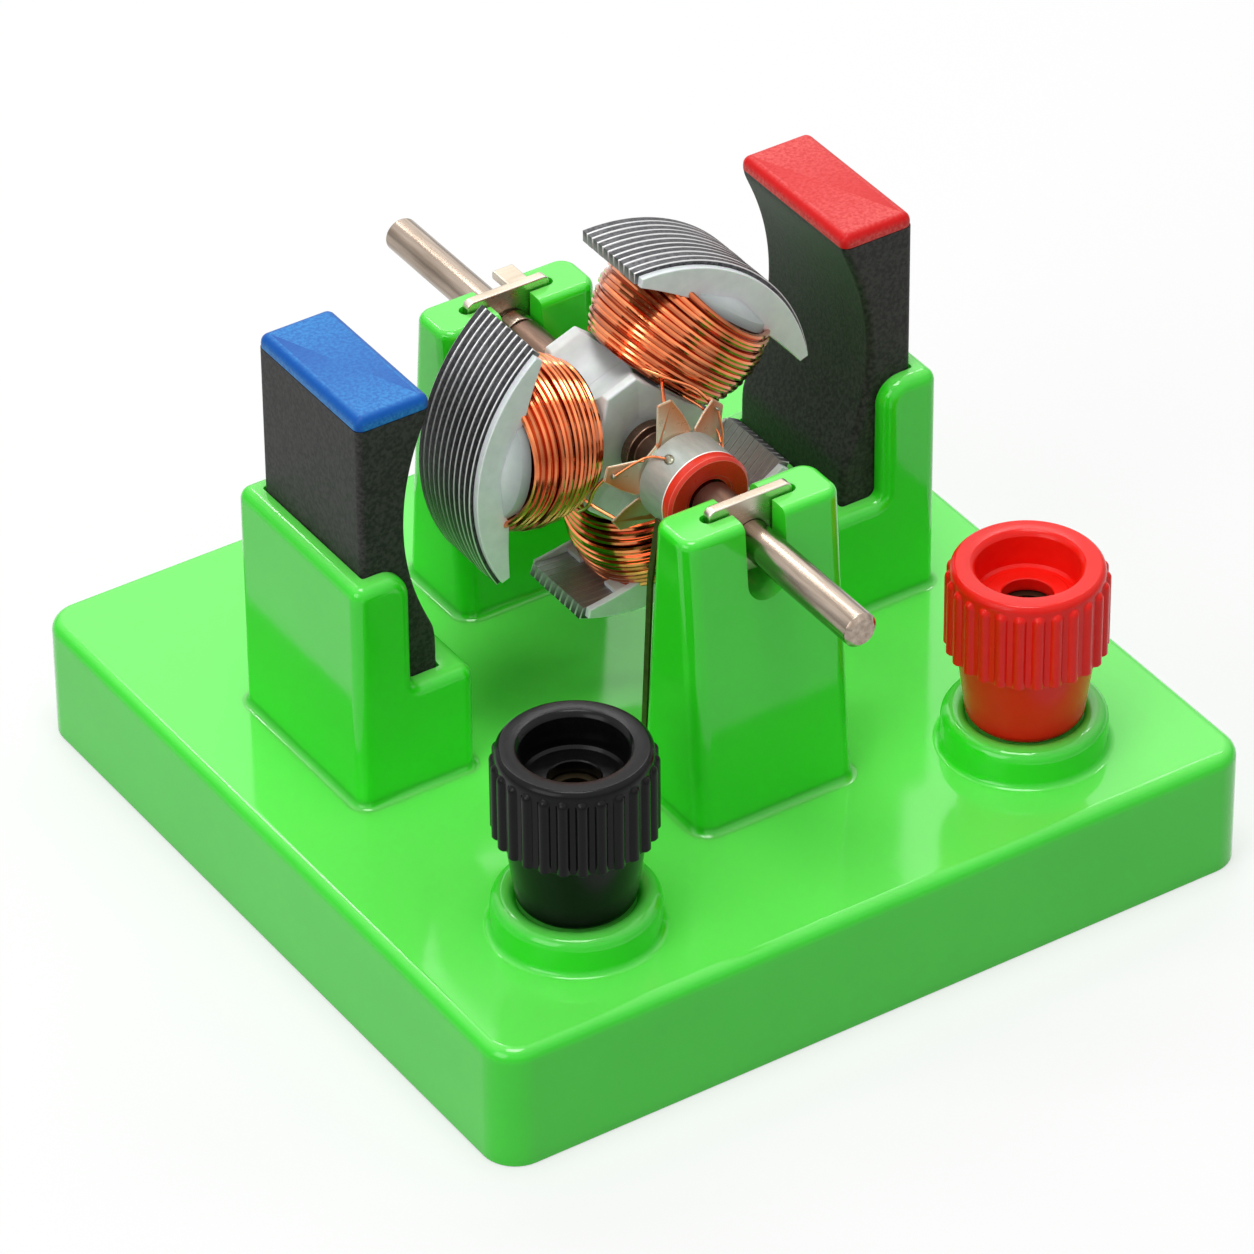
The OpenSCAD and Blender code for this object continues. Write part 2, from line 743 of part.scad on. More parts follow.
// Round wire through a list of places, with round elbows
module wire_path(places, r) {
  for (i = [0:len(places) - 2]) {
    run = places[i + 1] - places[i];
    len_run = norm(run);
    translate(places[i]) rotate([0, acos(run[2] / len_run), atan2(run[1], run[0])])
      cylinder(h = len_run, r = r, $fn = 24);
    if (i > 0) translate(places[i]) sphere(r + elbow_swell, $fn = 24);
  }
}

// Each lead leaves its winding along a tangent and ends behind the tip of a riser tab
module winding_leads() {
  start_s = wind_from + 3 * lead_r;
  start_r = barrel_r(start_s + lead_r) + lead_r + lead_gap;
  end_r = riser_tip_r - 2 * lead_r;
  end_turn = riser_spread - riser_lag;
  tab_y = riser_back_y(end_r) + lead_r + seat_gap;
  bend_y = tab_y + 2 * lead_r;
  color(copper) for (k = [0:2]) at_pole(k) wire_path([
    [start_s, -start_r * cos(lead_turn), start_r * sin(lead_turn)],
    [end_r * cos(end_turn), bend_y - core_y, end_r * sin(end_turn)],
    [end_r * cos(end_turn), tab_y - core_y, end_r * sin(end_turn)]
  ], lead_r);
}

// Rod with chamfered ends; between its free ends it is ground down to run in the bearing plates
module shaft() {
  len_all = shaft_rear + shaft_front;
  rear_free = shaft_rear - rear_pillar_y - relief_run;
  front_free = shaft_front + front_pillar_y - relief_run;
  color(steel) translate([0, shaft_rear, shaft_z]) rotate([90, 0, 0]) rotate_extrude() polygon([
    [0, 0], [shaft_r - shaft_chamfer, 0], [shaft_r, shaft_chamfer],
    [shaft_r, rear_free], [shaft_r - relief_depth, rear_free],
    [shaft_r - relief_depth, rear_free + relief_w], [shaft_r, rear_free + relief_w],
    [shaft_r, len_all - front_free - relief_w], [shaft_r - relief_depth, len_all - front_free - relief_w],
    [shaft_r - relief_depth, len_all - front_free], [shaft_r, len_all - front_free],
    [shaft_r, len_all - shaft_chamfer], [shaft_r - shaft_chamfer, len_all], [0, len_all]
  ]);
}

// Commutator

module commutator_body() {
  color([0.35, 0.2, 0.12]) sleeve(shaft_r + seat_gap, sleeve_r - seat_gap, -comm_front, -comm_back);
}

module commutator_segments() {
  color([0.7, 0.7, 0.67]) along_shaft(-comm_front, -comm_back) difference() {
    circle(comm_r);
    circle(sleeve_r);
    for (a = pole_angles) rotate(a - riser_lag + 60)
      translate([0, -segment_gap / 2]) square([comm_r + cut_over, segment_gap]);
  }
}

// Thin plate behind each segment, with two points that the coil ends are hooked on
// Place along Y of a riser tab's front and back, at a distance r from the shaft
function riser_front_y(r) = -comm_back + seat_gap + max(r - riser_bend_r, 0) * tan(riser_lean);
function riser_back_y(r) = riser_front_y(r) + riser_t / cos(riser_lean);

// One plate of tabs with its two tips and the valley between them, seen from the front
module riser_outline() {
  half = riser_half_angle;
  tip = riser_tip_r;
  difference() {
    polygon([
      [0, 0],
      riser_root_r * [cos(half), -sin(half)],
      tip * [cos(riser_spread + tip_half_angle), -sin(riser_spread + tip_half_angle)],
      tip * [cos(riser_spread - tip_half_angle), -sin(riser_spread - tip_half_angle)],
      [riser_valley_r, 0],
      tip * [cos(riser_spread - tip_half_angle), sin(riser_spread - tip_half_angle)],
      tip * [cos(riser_spread + tip_half_angle), sin(riser_spread + tip_half_angle)],
      riser_root_r * [cos(half), sin(half)]
    ]);
    circle(sleeve_r);
  }
}

// The plates are flat against the segments and lean back outside them, on a cone
module riser_tabs() {
  far_r = riser_tip_r + cut_over;
  color(brass) intersection() {
    along_shaft(-comm_back + seat_gap, core_front_y)
      for (a = pole_angles) rotate(a - riser_lag) riser_outline();
    translate([0, 0, shaft_z]) rotate([-90, 0, 0]) rotate_extrude() polygon([
      [0, riser_front_y(0)], [riser_bend_r, riser_front_y(0)], [far_r, riser_front_y(far_r)],
      [far_r, riser_back_y(far_r)], [riser_bend_r, riser_back_y(0)], [0, riser_back_y(0)]
    ]);
  }
}

module commutator_ring() {
  color("red") sleeve(shaft_r + seat_gap, comm_r, -ring_front, -comm_front - seat_gap);
}

// Spacers

module spacer_hub() {
  color([0.38, 0.27, 0.22]) {
    sleeve(shaft_r + seat_gap, hub_flange_r, hub_front_y - hub_flange_len, hub_front_y - seat_gap);
    sleeve(shaft_r + seat_gap, spacer_r, -comm_back + seat_gap, hub_front_y - hub_flange_len);
  }
}

module spacer_front() {
  plate_back_y = front_pillar_y + plate_t / 2;
  color([0.5, 0.42, 0.36]) sleeve(shaft_r + seat_gap, spacer_r, plate_back_y + end_float, -ring_front - seat_gap);
}

module spacer_rear() {
  thrust_from = rear_pillar_y - plate_t / 2 - end_float - thrust_len;
  color([0.5, 0.42, 0.36]) sleeve(shaft_r + seat_gap, spacer_r, hub_rear_y + seat_gap, thrust_from - end_float);
}

module thrust_collar() {
  thrust_to = rear_pillar_y - plate_t / 2 - end_float;
  color(steel) sleeve(shaft_r + seat_gap, spacer_r, thrust_to - thrust_len, thrust_to);
}

// Brushes

// Bent strip: foot under the deck, upright through its slot, bent in to the commutator
module brush(side) {
  t = brush_t;
  foot_z = deck_under_z - seat_gap;
  knee_z = shaft_z - brush_knee_drop;
  tip_z = shaft_z - brush_tip_drop;
  foot_end = brush_foot_x + brush_foot_len;
  color(brass) mirror([side < 0 ? 1 : 0, 0, 0]) translate([0, brush_y + brush_w / 2, 0]) rotate([90, 0, 0])
    linear_extrude(brush_w) polygon([
      [brush_foot_x - t / 2, foot_z - t], [foot_end, foot_z - t], [foot_end, foot_z],
      [brush_foot_x + t / 2, foot_z], [brush_foot_x + t / 2, base_h], [brush_knee_x + t, knee_z],
      [brush_tip_x + t, tip_z], [brush_tip_x, tip_z], [brush_knee_x, knee_z],
      [brush_foot_x - t / 2, base_h]
    ]);
}

// Terminals

module stud(side) {
  color(brass) at_terminal(side) difference() {
    translate([0, 0, deck_under_z - stud_low]) cylinder(h = stud_top_z - deck_under_z + stud_low, r = stud_r);
    translate([0, 0, stud_top_z - plug_depth]) cylinder(h = plug_depth + cut_over, r = plug_r);
  }
}

// Insulating bush with a small key notch at its foot
module bush(side) {
  at_terminal(side) translate([0, 0, seat_z + seat_gap]) difference() {
    cylinder(h = bush_h - seat_gap, r1 = bush_foot_r, r2 = bush_top_r);
    translate([0, 0, -cut_over]) cylinder(h = bush_h + 2 * cut_over, r = stud_r + stud_gap);
    rotate(notch_turn) translate([bush_foot_r - notch_depth, -notch_w / 2, -cut_over])
      cube([bush_foot_r, notch_w, notch_h + cut_over]);
  }
}

module terminal_washers() {
  color(steel) for (side = [-1, 1]) at_terminal(side)
    ring_solid(stud_r + stud_gap, washer_r, deck_under_z - washer_t, deck_under_z - seat_gap);
}

// Flat ring with a tail that points to the brush
module solder_lugs() {
  top_z = deck_under_z - washer_t - seat_gap;
  color(steel) for (side = [-1, 1]) at_terminal(side) mirror([side > 0 ? 1 : 0, 0, 0])
    rotate(hookup_turn) translate([0, 0, top_z - lug_t]) difference() {
      union() {
        cylinder(h = lug_t, r = lug_ring_r);
        translate([0, -lug_tail_w / 2, 0]) cube([lug_tail_len, lug_tail_w, lug_t]);
      }
      translate([0, 0, -cut_over]) cylinder(h = lug_t + 2 * cut_over, r = stud_r + stud_gap);
    }
}

module terminal_nuts() {
  top_z = deck_under_z - washer_t - lug_t - 2 * seat_gap;
  color(steel) for (side = [-1, 1]) at_terminal(side) translate([0, 0, top_z - nut_t]) difference() {
    cylinder(h = nut_t, r = nut_across_r, $fn = 6);
    translate([0, 0, -cut_over]) cylinder(h = nut_t + 2 * cut_over, r = stud_r + seat_gap);
  }
}

// Inner lead from the lug's tail to the brush's foot
module hookup(side) {
  lug_z = deck_under_z - washer_t - lug_t - 2 * seat_gap;
  foot_z = deck_under_z - brush_t - 2 * seat_gap;
  low_z = deck_under_z - hookup_drop;
  tail = lug_tail_len - lug_tail_w / 2;
  color(side < 0 ? [0.1, 0.1, 0.1] : "red") mirror([side > 0 ? 1 : 0, 0, 0]) wire_path([
    [-terminal_x + tail * cos(hookup_turn), -terminal_front + tail * sin(hookup_turn), lug_z],
    [-terminal_x + tail * cos(hookup_turn), -terminal_front + tail * sin(hookup_turn), low_z],
    [-hookup_foot_x, brush_y, low_z],
    [-hookup_foot_x, brush_y, foot_z]
  ], hookup_r);
}

// Threaded ring in the screw cap, which climbs the stud as the cap is turned
module insert(side) {
  color(brass) at_terminal(side)
    ring_solid(stud_r + stud_gap, insert_r, screw_foot_z + insert_inset, screw_foot_z + insert_inset + insert_h);
}

module screw_cap(side) {
  rim_z = screw_cap_h - cap_rim_r;
  floor_z = recess_floor_z - screw_foot_z;
  well_top = insert_inset + insert_h + seat_gap;
  at_terminal(side) translate([0, 0, screw_foot_z]) difference() {
    union() {
      linear_extrude(rim_z) {
        circle(flute_core_r);
        for (i = [0:flute_count - 1]) rotate(360 * i / flute_count)
          translate([screw_cap_r - flute_r, 0]) circle(flute_r, $fn = 24);
      }
      translate([0, 0, rim_z - cap_rim_r / 2]) cylinder(h = cap_rim_r / 2, r = cap_flat_r + cap_rim_r);
      translate([0, 0, rim_z]) rotate_extrude() intersection() {
        union() {
          square([cap_flat_r, cap_rim_r]);
          translate([cap_flat_r, 0]) circle(cap_rim_r);
        }
        square([cap_flat_r + cap_rim_r, cap_rim_r]);
      }
    }
    difference() {
      translate([0, 0, floor_z]) cylinder(h = recess_depth + cut_over, r = recess_r);
      ring_solid(cap_hole_r, recess_ring_r, floor_z - cut_over, floor_z + recess_ring_h);
    }
    translate([0, 0, screw_cap_h - recess_chamfer])
      cylinder(h = recess_chamfer, r1 = recess_r, r2 = recess_r + recess_chamfer);
    cylinder(h = screw_cap_h, r = cap_hole_r);
    translate([0, 0, -cut_over]) cylinder(h = well_top + cut_over, r = insert_r + stud_gap);
    translate([0, 0, -cut_over]) cylinder(h = stud_top_z - screw_foot_z + stud_gap + cut_over, r = stud_r + stud_gap);
  }
}

// Drawing

base_plate();
magnet_socket(-1);  // socket_left
magnet_socket(1);  // socket_right
bearing_pillar(front_pillar_y, front_pillar_y);  // pillar_front
bearing_pillar(rear_pillar_y, rear_pillar_y);  // pillar_rear
bearing_plate_front();
bearing_plate_rear();
magnet(-1);  // magnet_left
magnet(1);  // magnet_right
color("royalblue") magnet_cap(-1);  // cap_blue
color("red") magnet_cap(1);  // cap_red
brush(-1);  // brush_left
brush(1);  // brush_right
stud(-1);  // stud_black
stud(1);  // stud_red
color([0.08, 0.08, 0.08]) bush(-1);  // bush_black
color("red") bush(1);  // bush_red
terminal_washers();
terminal_nuts();
solder_lugs();
hookup(-1);  // hookup_left
hookup(1);  // hookup_right
shaft();
core_stack();
color(white) insulator();  // insulator_front
color(white) translate([0, 2 * core_y, 0]) mirror([0, 1, 0]) insulator();  // insulator_rear
winding_core(0);  // winding_core_a
winding_core(1);  // winding_core_b
winding_core(2);  // winding_core_c
winding(0);  // winding_a
winding(1);  // winding_b
winding(2);  // winding_c
winding_leads();
commutator_body();
commutator_segments();
riser_tabs();
commutator_ring();
spacer_hub();
spacer_front();
spacer_rear();
thrust_collar();
insert(-1);  // insert_black
insert(1);  // insert_red
color([0.08, 0.08, 0.08]) screw_cap(-1);  // screw_cap_black
color("red") screw_cap(1);  // screw_cap_red
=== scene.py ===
"""Looks of a demonstration electric motor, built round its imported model.

A green moulded stand holds two upright magnets and two slotted pillars. Between them turns a
three-pole wound rotor with its commutator, and two screw terminals feed the brushes.
Lengths are in millimetres until a mesh is made, which then holds metres.
"""

import logging
import math
from dataclasses import dataclass
from enum import Enum
from typing import Optional, Sequence

import bpy
import numpy as np
from mathutils import Matrix, Vector
from mathutils.geometry import tessellate_polygon


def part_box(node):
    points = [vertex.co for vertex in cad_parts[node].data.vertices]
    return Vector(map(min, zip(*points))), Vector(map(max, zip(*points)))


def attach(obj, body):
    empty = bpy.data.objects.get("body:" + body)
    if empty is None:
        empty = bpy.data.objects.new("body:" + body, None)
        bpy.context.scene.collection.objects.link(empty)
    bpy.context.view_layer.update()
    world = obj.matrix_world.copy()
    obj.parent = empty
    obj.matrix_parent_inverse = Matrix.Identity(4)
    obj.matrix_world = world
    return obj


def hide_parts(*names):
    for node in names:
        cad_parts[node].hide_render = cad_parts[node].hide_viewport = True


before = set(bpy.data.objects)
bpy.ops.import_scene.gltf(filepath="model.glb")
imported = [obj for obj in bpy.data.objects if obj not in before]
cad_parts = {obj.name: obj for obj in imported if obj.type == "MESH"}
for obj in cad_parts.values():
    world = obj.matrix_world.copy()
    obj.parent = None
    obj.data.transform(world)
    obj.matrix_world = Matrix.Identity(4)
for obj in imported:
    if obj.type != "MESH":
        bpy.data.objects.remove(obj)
log = logging.getLogger("motor")
MM = 0.001
TURN = 2 * math.pi
Colour = tuple[int, int, int]


class Body(str, Enum):
    """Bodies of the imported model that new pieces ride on."""

    STAND = "stand"
    ROTOR = "rotor"
    BLACK_CAP = "black_cap"
    RED_CAP = "red_cap"


@dataclass(frozen=True)
class Span:
    """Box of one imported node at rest, in millimetres."""

    lo: np.ndarray
    hi: np.ndarray

    @classmethod
    def of(cls, node: str) -> "Span":
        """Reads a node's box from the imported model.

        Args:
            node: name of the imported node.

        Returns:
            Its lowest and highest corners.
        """
        low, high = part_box(node)
        return cls(np.array(low) / MM, np.array(high) / MM)

    @property
    def mid(self) -> np.ndarray:
        """Middle of the box."""
        return (self.lo + self.hi) / 2

    @property
    def size(self) -> np.ndarray:
        """Lengths of the box along X, Y and Z."""
        return self.hi - self.lo


@dataclass(frozen=True)
class Outline:
    """Flat closed line, counter-clockwise, with the direction in which each point moves outwards.

    The soft value is 0 on straight runs and rises to 1 in the middle of each small rounding.
    """

    points: np.ndarray
    miters: np.ndarray
    soft: np.ndarray

    @classmethod
    def rounded(cls, corners: Sequence[tuple[float, float, float]], steps: int = 6) -> "Outline":
        """Polygon whose corners are tangent arcs.

        For a corner between unit directions a and b that turns by t, the arc starts r tan(t/2)
        before the corner, and its points are centre + side r n, with n turning from a's
        outward normal to b's. Side is 1 on a convex corner and -1 on a hollow one.

        Args:
            corners: (x, y, radius) of each corner, counter-clockwise.
            steps: arc steps in a quarter turn.

        Returns:
            The rounded outline.
        """
        place = np.array([c[:2] for c in corners], float)
        points, miters, soft = [], [], []
        for i, (x, y, r) in enumerate(corners):
            before, after = place[i] - place[i - 1], place[(i + 1) % len(place)] - place[i]
            a, b = before / np.linalg.norm(before), after / np.linalg.norm(after)
            turn = math.atan2(a[0] * b[1] - a[1] * b[0], a @ b)
            start = math.atan2(-a[0], a[1])
            if r <= 0:
                out = np.array([[a[1] + b[1], -a[0] - b[0]]]) / (1 + a @ b)
                points.append(place[i][None])
                miters.append(out)
                soft.append(np.zeros(1))
                continue
            side = 1 if turn > 0 else -1
            count = max(2, math.ceil(steps * abs(turn) / (math.pi / 2)))
            share = np.linspace(0, 1, count + 1)
            angle = start + turn * share
            normal = np.stack([np.cos(angle), np.sin(angle)], 1)
            centre = place[i] - a * r * math.tan(abs(turn) / 2) - side * r * normal[0]
            points.append(centre + side * r * normal)
            miters.append(normal)
            soft.append(np.sin(math.pi * share) * (r < 1.2))
        return cls(np.concatenate(points), np.concatenate(miters), np.concatenate(soft))

    @classmethod
    def block(cls, width: float, depth: float, radius: float, steps: int = 6) -> "Outline":
        """Rectangle about the middle with round corners.

        Args:
            width: size along the first axis.
            depth: size along the second axis.
            radius: corner radius.
            steps: arc steps in a quarter turn.

        Returns:
            The outline.
        """
        x, y = width / 2, depth / 2
        return cls.rounded([(-x, -y, radius), (x, -y, radius), (x, y, radius), (-x, y, radius)], steps)

    @classmethod
    def circle(cls, radius: float, sides: int = 64) -> "Outline":
        """Circle about the middle.

        Args:
            radius: its radius.
            sides: number of points.

        Returns:
            The outline.
        """
        angle = TURN * np.arange(sides) / sides
        normal = np.stack([np.cos(angle), np.sin(angle)], 1)
        return cls(radius * normal, normal, np.zeros(sides))

    def turned(self, degrees: float) -> "Outline":
        """The outline turned about the middle.

        Args:
            degrees: how far, counter-clockwise.

        Returns:
            The turned outline.
        """
        a = math.radians(degrees)
        spin = np.array([[math.cos(a), math.sin(a)], [-math.sin(a), math.cos(a)]])
        return Outline(self.points @ spin, self.miters @ spin, self.soft)

    def moved(self, x: float, y: float) -> "Outline":
        """The outline moved by x and y."""
        return Outline(self.points + np.array([x, y]), self.miters, self.soft)


@dataclass
class Surface:
    """Points and faces in millimetres, with an edge value and a tone value at each point. Some finishes
    turn the edge value into a painted highlight and the tone value into painted shade.
    """

    points: np.ndarray
    faces: list[np.ndarray]
    edge: np.ndarray
    tone: np.ndarray

    @classmethod
    def of_rings(cls, rings: np.ndarray, edge: Optional[np.ndarray] = None, wrap: bool = False,
                 caps: tuple[bool, bool] = (True, True)) -> "Surface":
        """Joins closed rings in order.

        Args:
            rings: array of rings x points x 3.
            edge: edge value at each of those points.
            wrap: whether the last ring joins the first.
            caps: whether the first and the last ring are closed by a face.

        Returns:
            The surface, with a quad between neighbours.
        """
        rows, cols = rings.shape[:2]
        index = np.arange(rows * cols).reshape(rows, cols)
        near = index if wrap else index[:-1]
        far = np.roll(index, -1, 0) if wrap else index[1:]
        quads = np.stack([near, np.roll(near, -1, 1), np.roll(far, -1, 1), far], -1).reshape(-1, 4)
        faces = [quads]
        if not wrap and caps[0]:
            faces.append(index[0][::-1][None])
        if not wrap and caps[1]:
            faces.append(index[-1][None])
        values = np.zeros(rows * cols) if edge is None else edge.reshape(-1)
        return cls(rings.reshape(-1, 3), faces, values, np.zeros(rows * cols)).outward()

    @classmethod
    def joined(cls, parts: Sequence["Surface"]) -> "Surface":
        """Puts several surfaces into one, each with its own points.

        Args:
            parts: the surfaces.

        Returns:
            The one surface.
        """
        starts = np.cumsum([0] + [len(p.points) for p in parts])
        faces = [f + start for p, start in zip(parts, starts) for f in p.faces]
        return cls(np.concatenate([p.points for p in parts]), faces,
                   np.concatenate([p.edge for p in parts]), np.concatenate([p.tone for p in parts]))

    def volume(self) -> float:
        """Signed volume: a sum over each face's fan of the triple product of its corners, over six.

        Returns:
            The volume, above 0 where the faces point outwards.
        """
        total = 0.0
        for group in self.faces:
            first = self.points[group[:, 0]]
            for k in range(1, group.shape[1] - 1):
                cross = np.cross(self.points[group[:, k]], self.points[group[:, k + 1]])
                total += float(np.einsum("ij,ij->", first, cross))
        return total / 6

    def outward(self) -> "Surface":
        """Turns the faces round if they point inwards.

        Returns:
            The same surface.
        """
        if self.volume() < 0:
            self.faces = [group[:, ::-1] for group in self.faces]
        return self

    def placed(self, matrix: np.ndarray) -> "Surface":
        """The surface after a 4 x 4 matrix, kept pointing outwards."""
        points = self.points @ matrix[:3, :3].T + matrix[:3, 3]
        return Surface(points, list(self.faces), self.edge, self.tone).outward()

    def toned(self, value: float) -> "Surface":
        """The surface with one tone value."""
        return Surface(self.points, self.faces, self.edge, np.full(len(self.points), value))

    def mirrored_x(self) -> "Surface":
        """The surface mirrored in the plane x = 0."""
        return self.placed(np.diag([-1.0, 1.0, 1.0, 1.0]))


def shift(x: float = 0, y: float = 0, z: float = 0) -> np.ndarray:
    """Matrix of a move.

    Args:
        x: how far along X.
        y: how far along Y.
        z: how far along Z.

    Returns:
        The 4 x 4 matrix.
    """
    matrix = np.eye(4)
    matrix[:3, 3] = x, y, z
    return matrix


def facing(origin: Sequence[float], u: Sequence[float], v: Sequence[float],
           w: Sequence[float]) -> np.ndarray:
    """Matrix that places a drawing.

    Args:
        origin: where its origin goes.
        u: where its first axis points.
        v: where its second axis points.
        w: where its third axis points.

    Returns:
        The 4 x 4 matrix, whose columns are u, v, w and the origin.
    """
    matrix = np.eye(4)
    matrix[:3, 0], matrix[:3, 1], matrix[:3, 2], matrix[:3, 3] = u, v, w, origin
    return matrix


def rounding(edge: float, steps: int) -> tuple[np.ndarray, np.ndarray, np.ndarray]:
    """Quarter round from a flat face to a side wall.

    Args:
        edge: its radius.
        steps: number of steps.

    Returns:
        Offsets from -edge to 0, heights from 0 to edge, and an edge value that is 1 in the middle.
    """
    t = np.linspace(0, math.pi / 2, steps + 1)
    return -edge + edge * np.sin(t), edge - edge * np.cos(t), np.sin(2 * t)


def raised(flat: np.ndarray, height: np.ndarray) -> np.ndarray:
    """Rings of flat points, each lifted to its own height."""
    tall = np.broadcast_to(height[:, None, None], flat.shape[:2] + (1,))
    return np.concatenate([flat, tall], -1)


def round_about(profile: np.ndarray, sides: int) -> np.ndarray:
    """Turns a profile about the axis: (r cos a, r sin a, h), with a in even steps of a turn.

    Args:
        profile: rows of radius and height.
        sides: steps round the axis.

    Returns:
        Array of rows x steps x 3.
    """
    angle = TURN * np.arange(sides) / sides
    r, h = profile[:, 0, None], profile[:, 1, None]
    return np.stack([r * np.cos(angle), r * np.sin(angle), h + 0 * angle], -1)


def slab(outline: Outline, low: float, high: float, edges: tuple[float, float] = (0.15, 0.15),
         steps: int = 3) -> Surface:
    """Flat piece with round edges: the outline's points moved along their miters by the rounding.

    Args:
        outline: its outline, in x and y.
        low: height of its lower face.
        high: height of its upper face.
        edges: radius of its lower and its upper edge.
        steps: steps in each rounding.

    Returns:
        The closed surface.
    """
    off_a, up_a, soft_a = rounding(edges[0], steps)
    off_b, up_b, soft_b = rounding(edges[1], steps)
    offset = np.concatenate([off_a, off_b[::-1]])
    height = np.concatenate([low + up_a, high - up_b[::-1]])
    soft = np.concatenate([soft_a, soft_b[::-1]])
    flat = outline.points[None] + offset[:, None, None] * outline.miters[None]
    edge = np.maximum(soft[:, None], outline.soft[None])
    return Surface.of_rings(raised(flat, height), edge)


def revolved(section: Outline, sides: int = 64) -> Surface:
    """Ring with the given closed section, in radius and height: (r cos a, r sin a, h).

    Args:
        section: its outline, clear of the axis.
        sides: steps round the axis.

    Returns:
        The closed surface.
    """
    edge = np.repeat(section.soft[:, None], sides, 1)
    return Surface.of_rings(round_about(section.points, sides), edge, wrap=True)


def turned_solid(profile: np.ndarray, sides: int = 64) -> Surface:
    """Solid of revolution from (radius, height) rows, with flat ends."""
    return Surface.of_rings(round_about(profile, sides))


def tube(path: np.ndarray, radius: float, sides: int, up: np.ndarray) -> Surface:
    """Round wire along a path: path + r (cos a u + sin a v), with u square to the path and to up.

    Args:
        path: points of its middle line.
        radius: its radius.
        sides: points round it.
        up: a direction, or one a point, that the path never follows.

    Returns:
        The closed surface.
    """
    along = np.gradient(path, axis=0)
    along /= np.linalg.norm(along, axis=1, keepdims=True)
    u = np.cross(along, up)
    u /= np.linalg.norm(u, axis=1, keepdims=True)
    v = np.cross(along, u)
    angle = TURN * np.arange(sides) / sides
    ring = np.cos(angle)[None, :, None] * u[:, None] + np.sin(angle)[None, :, None] * v[:, None]
    return Surface.of_rings(path[:, None] + radius * ring)


def flowing(knots: Sequence[Sequence[float]], steps: int = 10) -> np.ndarray:
    """Smooth line through knots: cubics whose slope at a knot is half the step between its neighbours.

    Args:
        knots: points that it passes.
        steps: steps between two knots.

    Returns:
        Points along it.
    """
    p = np.array(knots, float)
    slope = np.gradient(p, axis=0)
    t = np.linspace(0, 1, steps, endpoint=False)[:, None, None]
    a, b, ma, mb = p[:-1], p[1:], slope[:-1], slope[1:]
    piece = ((2 * t**3 - 3 * t**2 + 1) * a + (t**3 - 2 * t**2 + t) * ma
             + (3 * t**2 - 2 * t**3) * b + (t**3 - t**2) * mb)
    return np.concatenate([piece.transpose(1, 0, 2).reshape(-1, 3), p[-1:]])


# Along the shaft: x stays, the drawing's y becomes Z and its height becomes Y
ALONG_Y = facing((0, 0, 0), (1, 0, 0), (0, 0, 1), (0, 1, 0))
# Across it: the drawing's x becomes Y, its y becomes Z and its height becomes X
ALONG_X = facing((0, 0, 0), (0, 1, 0), (0, 0, 1), (1, 0, 0))


def about_shaft(z: float) -> np.ndarray:
    """Matrix that takes a drawing about the Z axis to the shaft's axis at height z."""
    return shift(0, 0, z) @ ALONG_Y


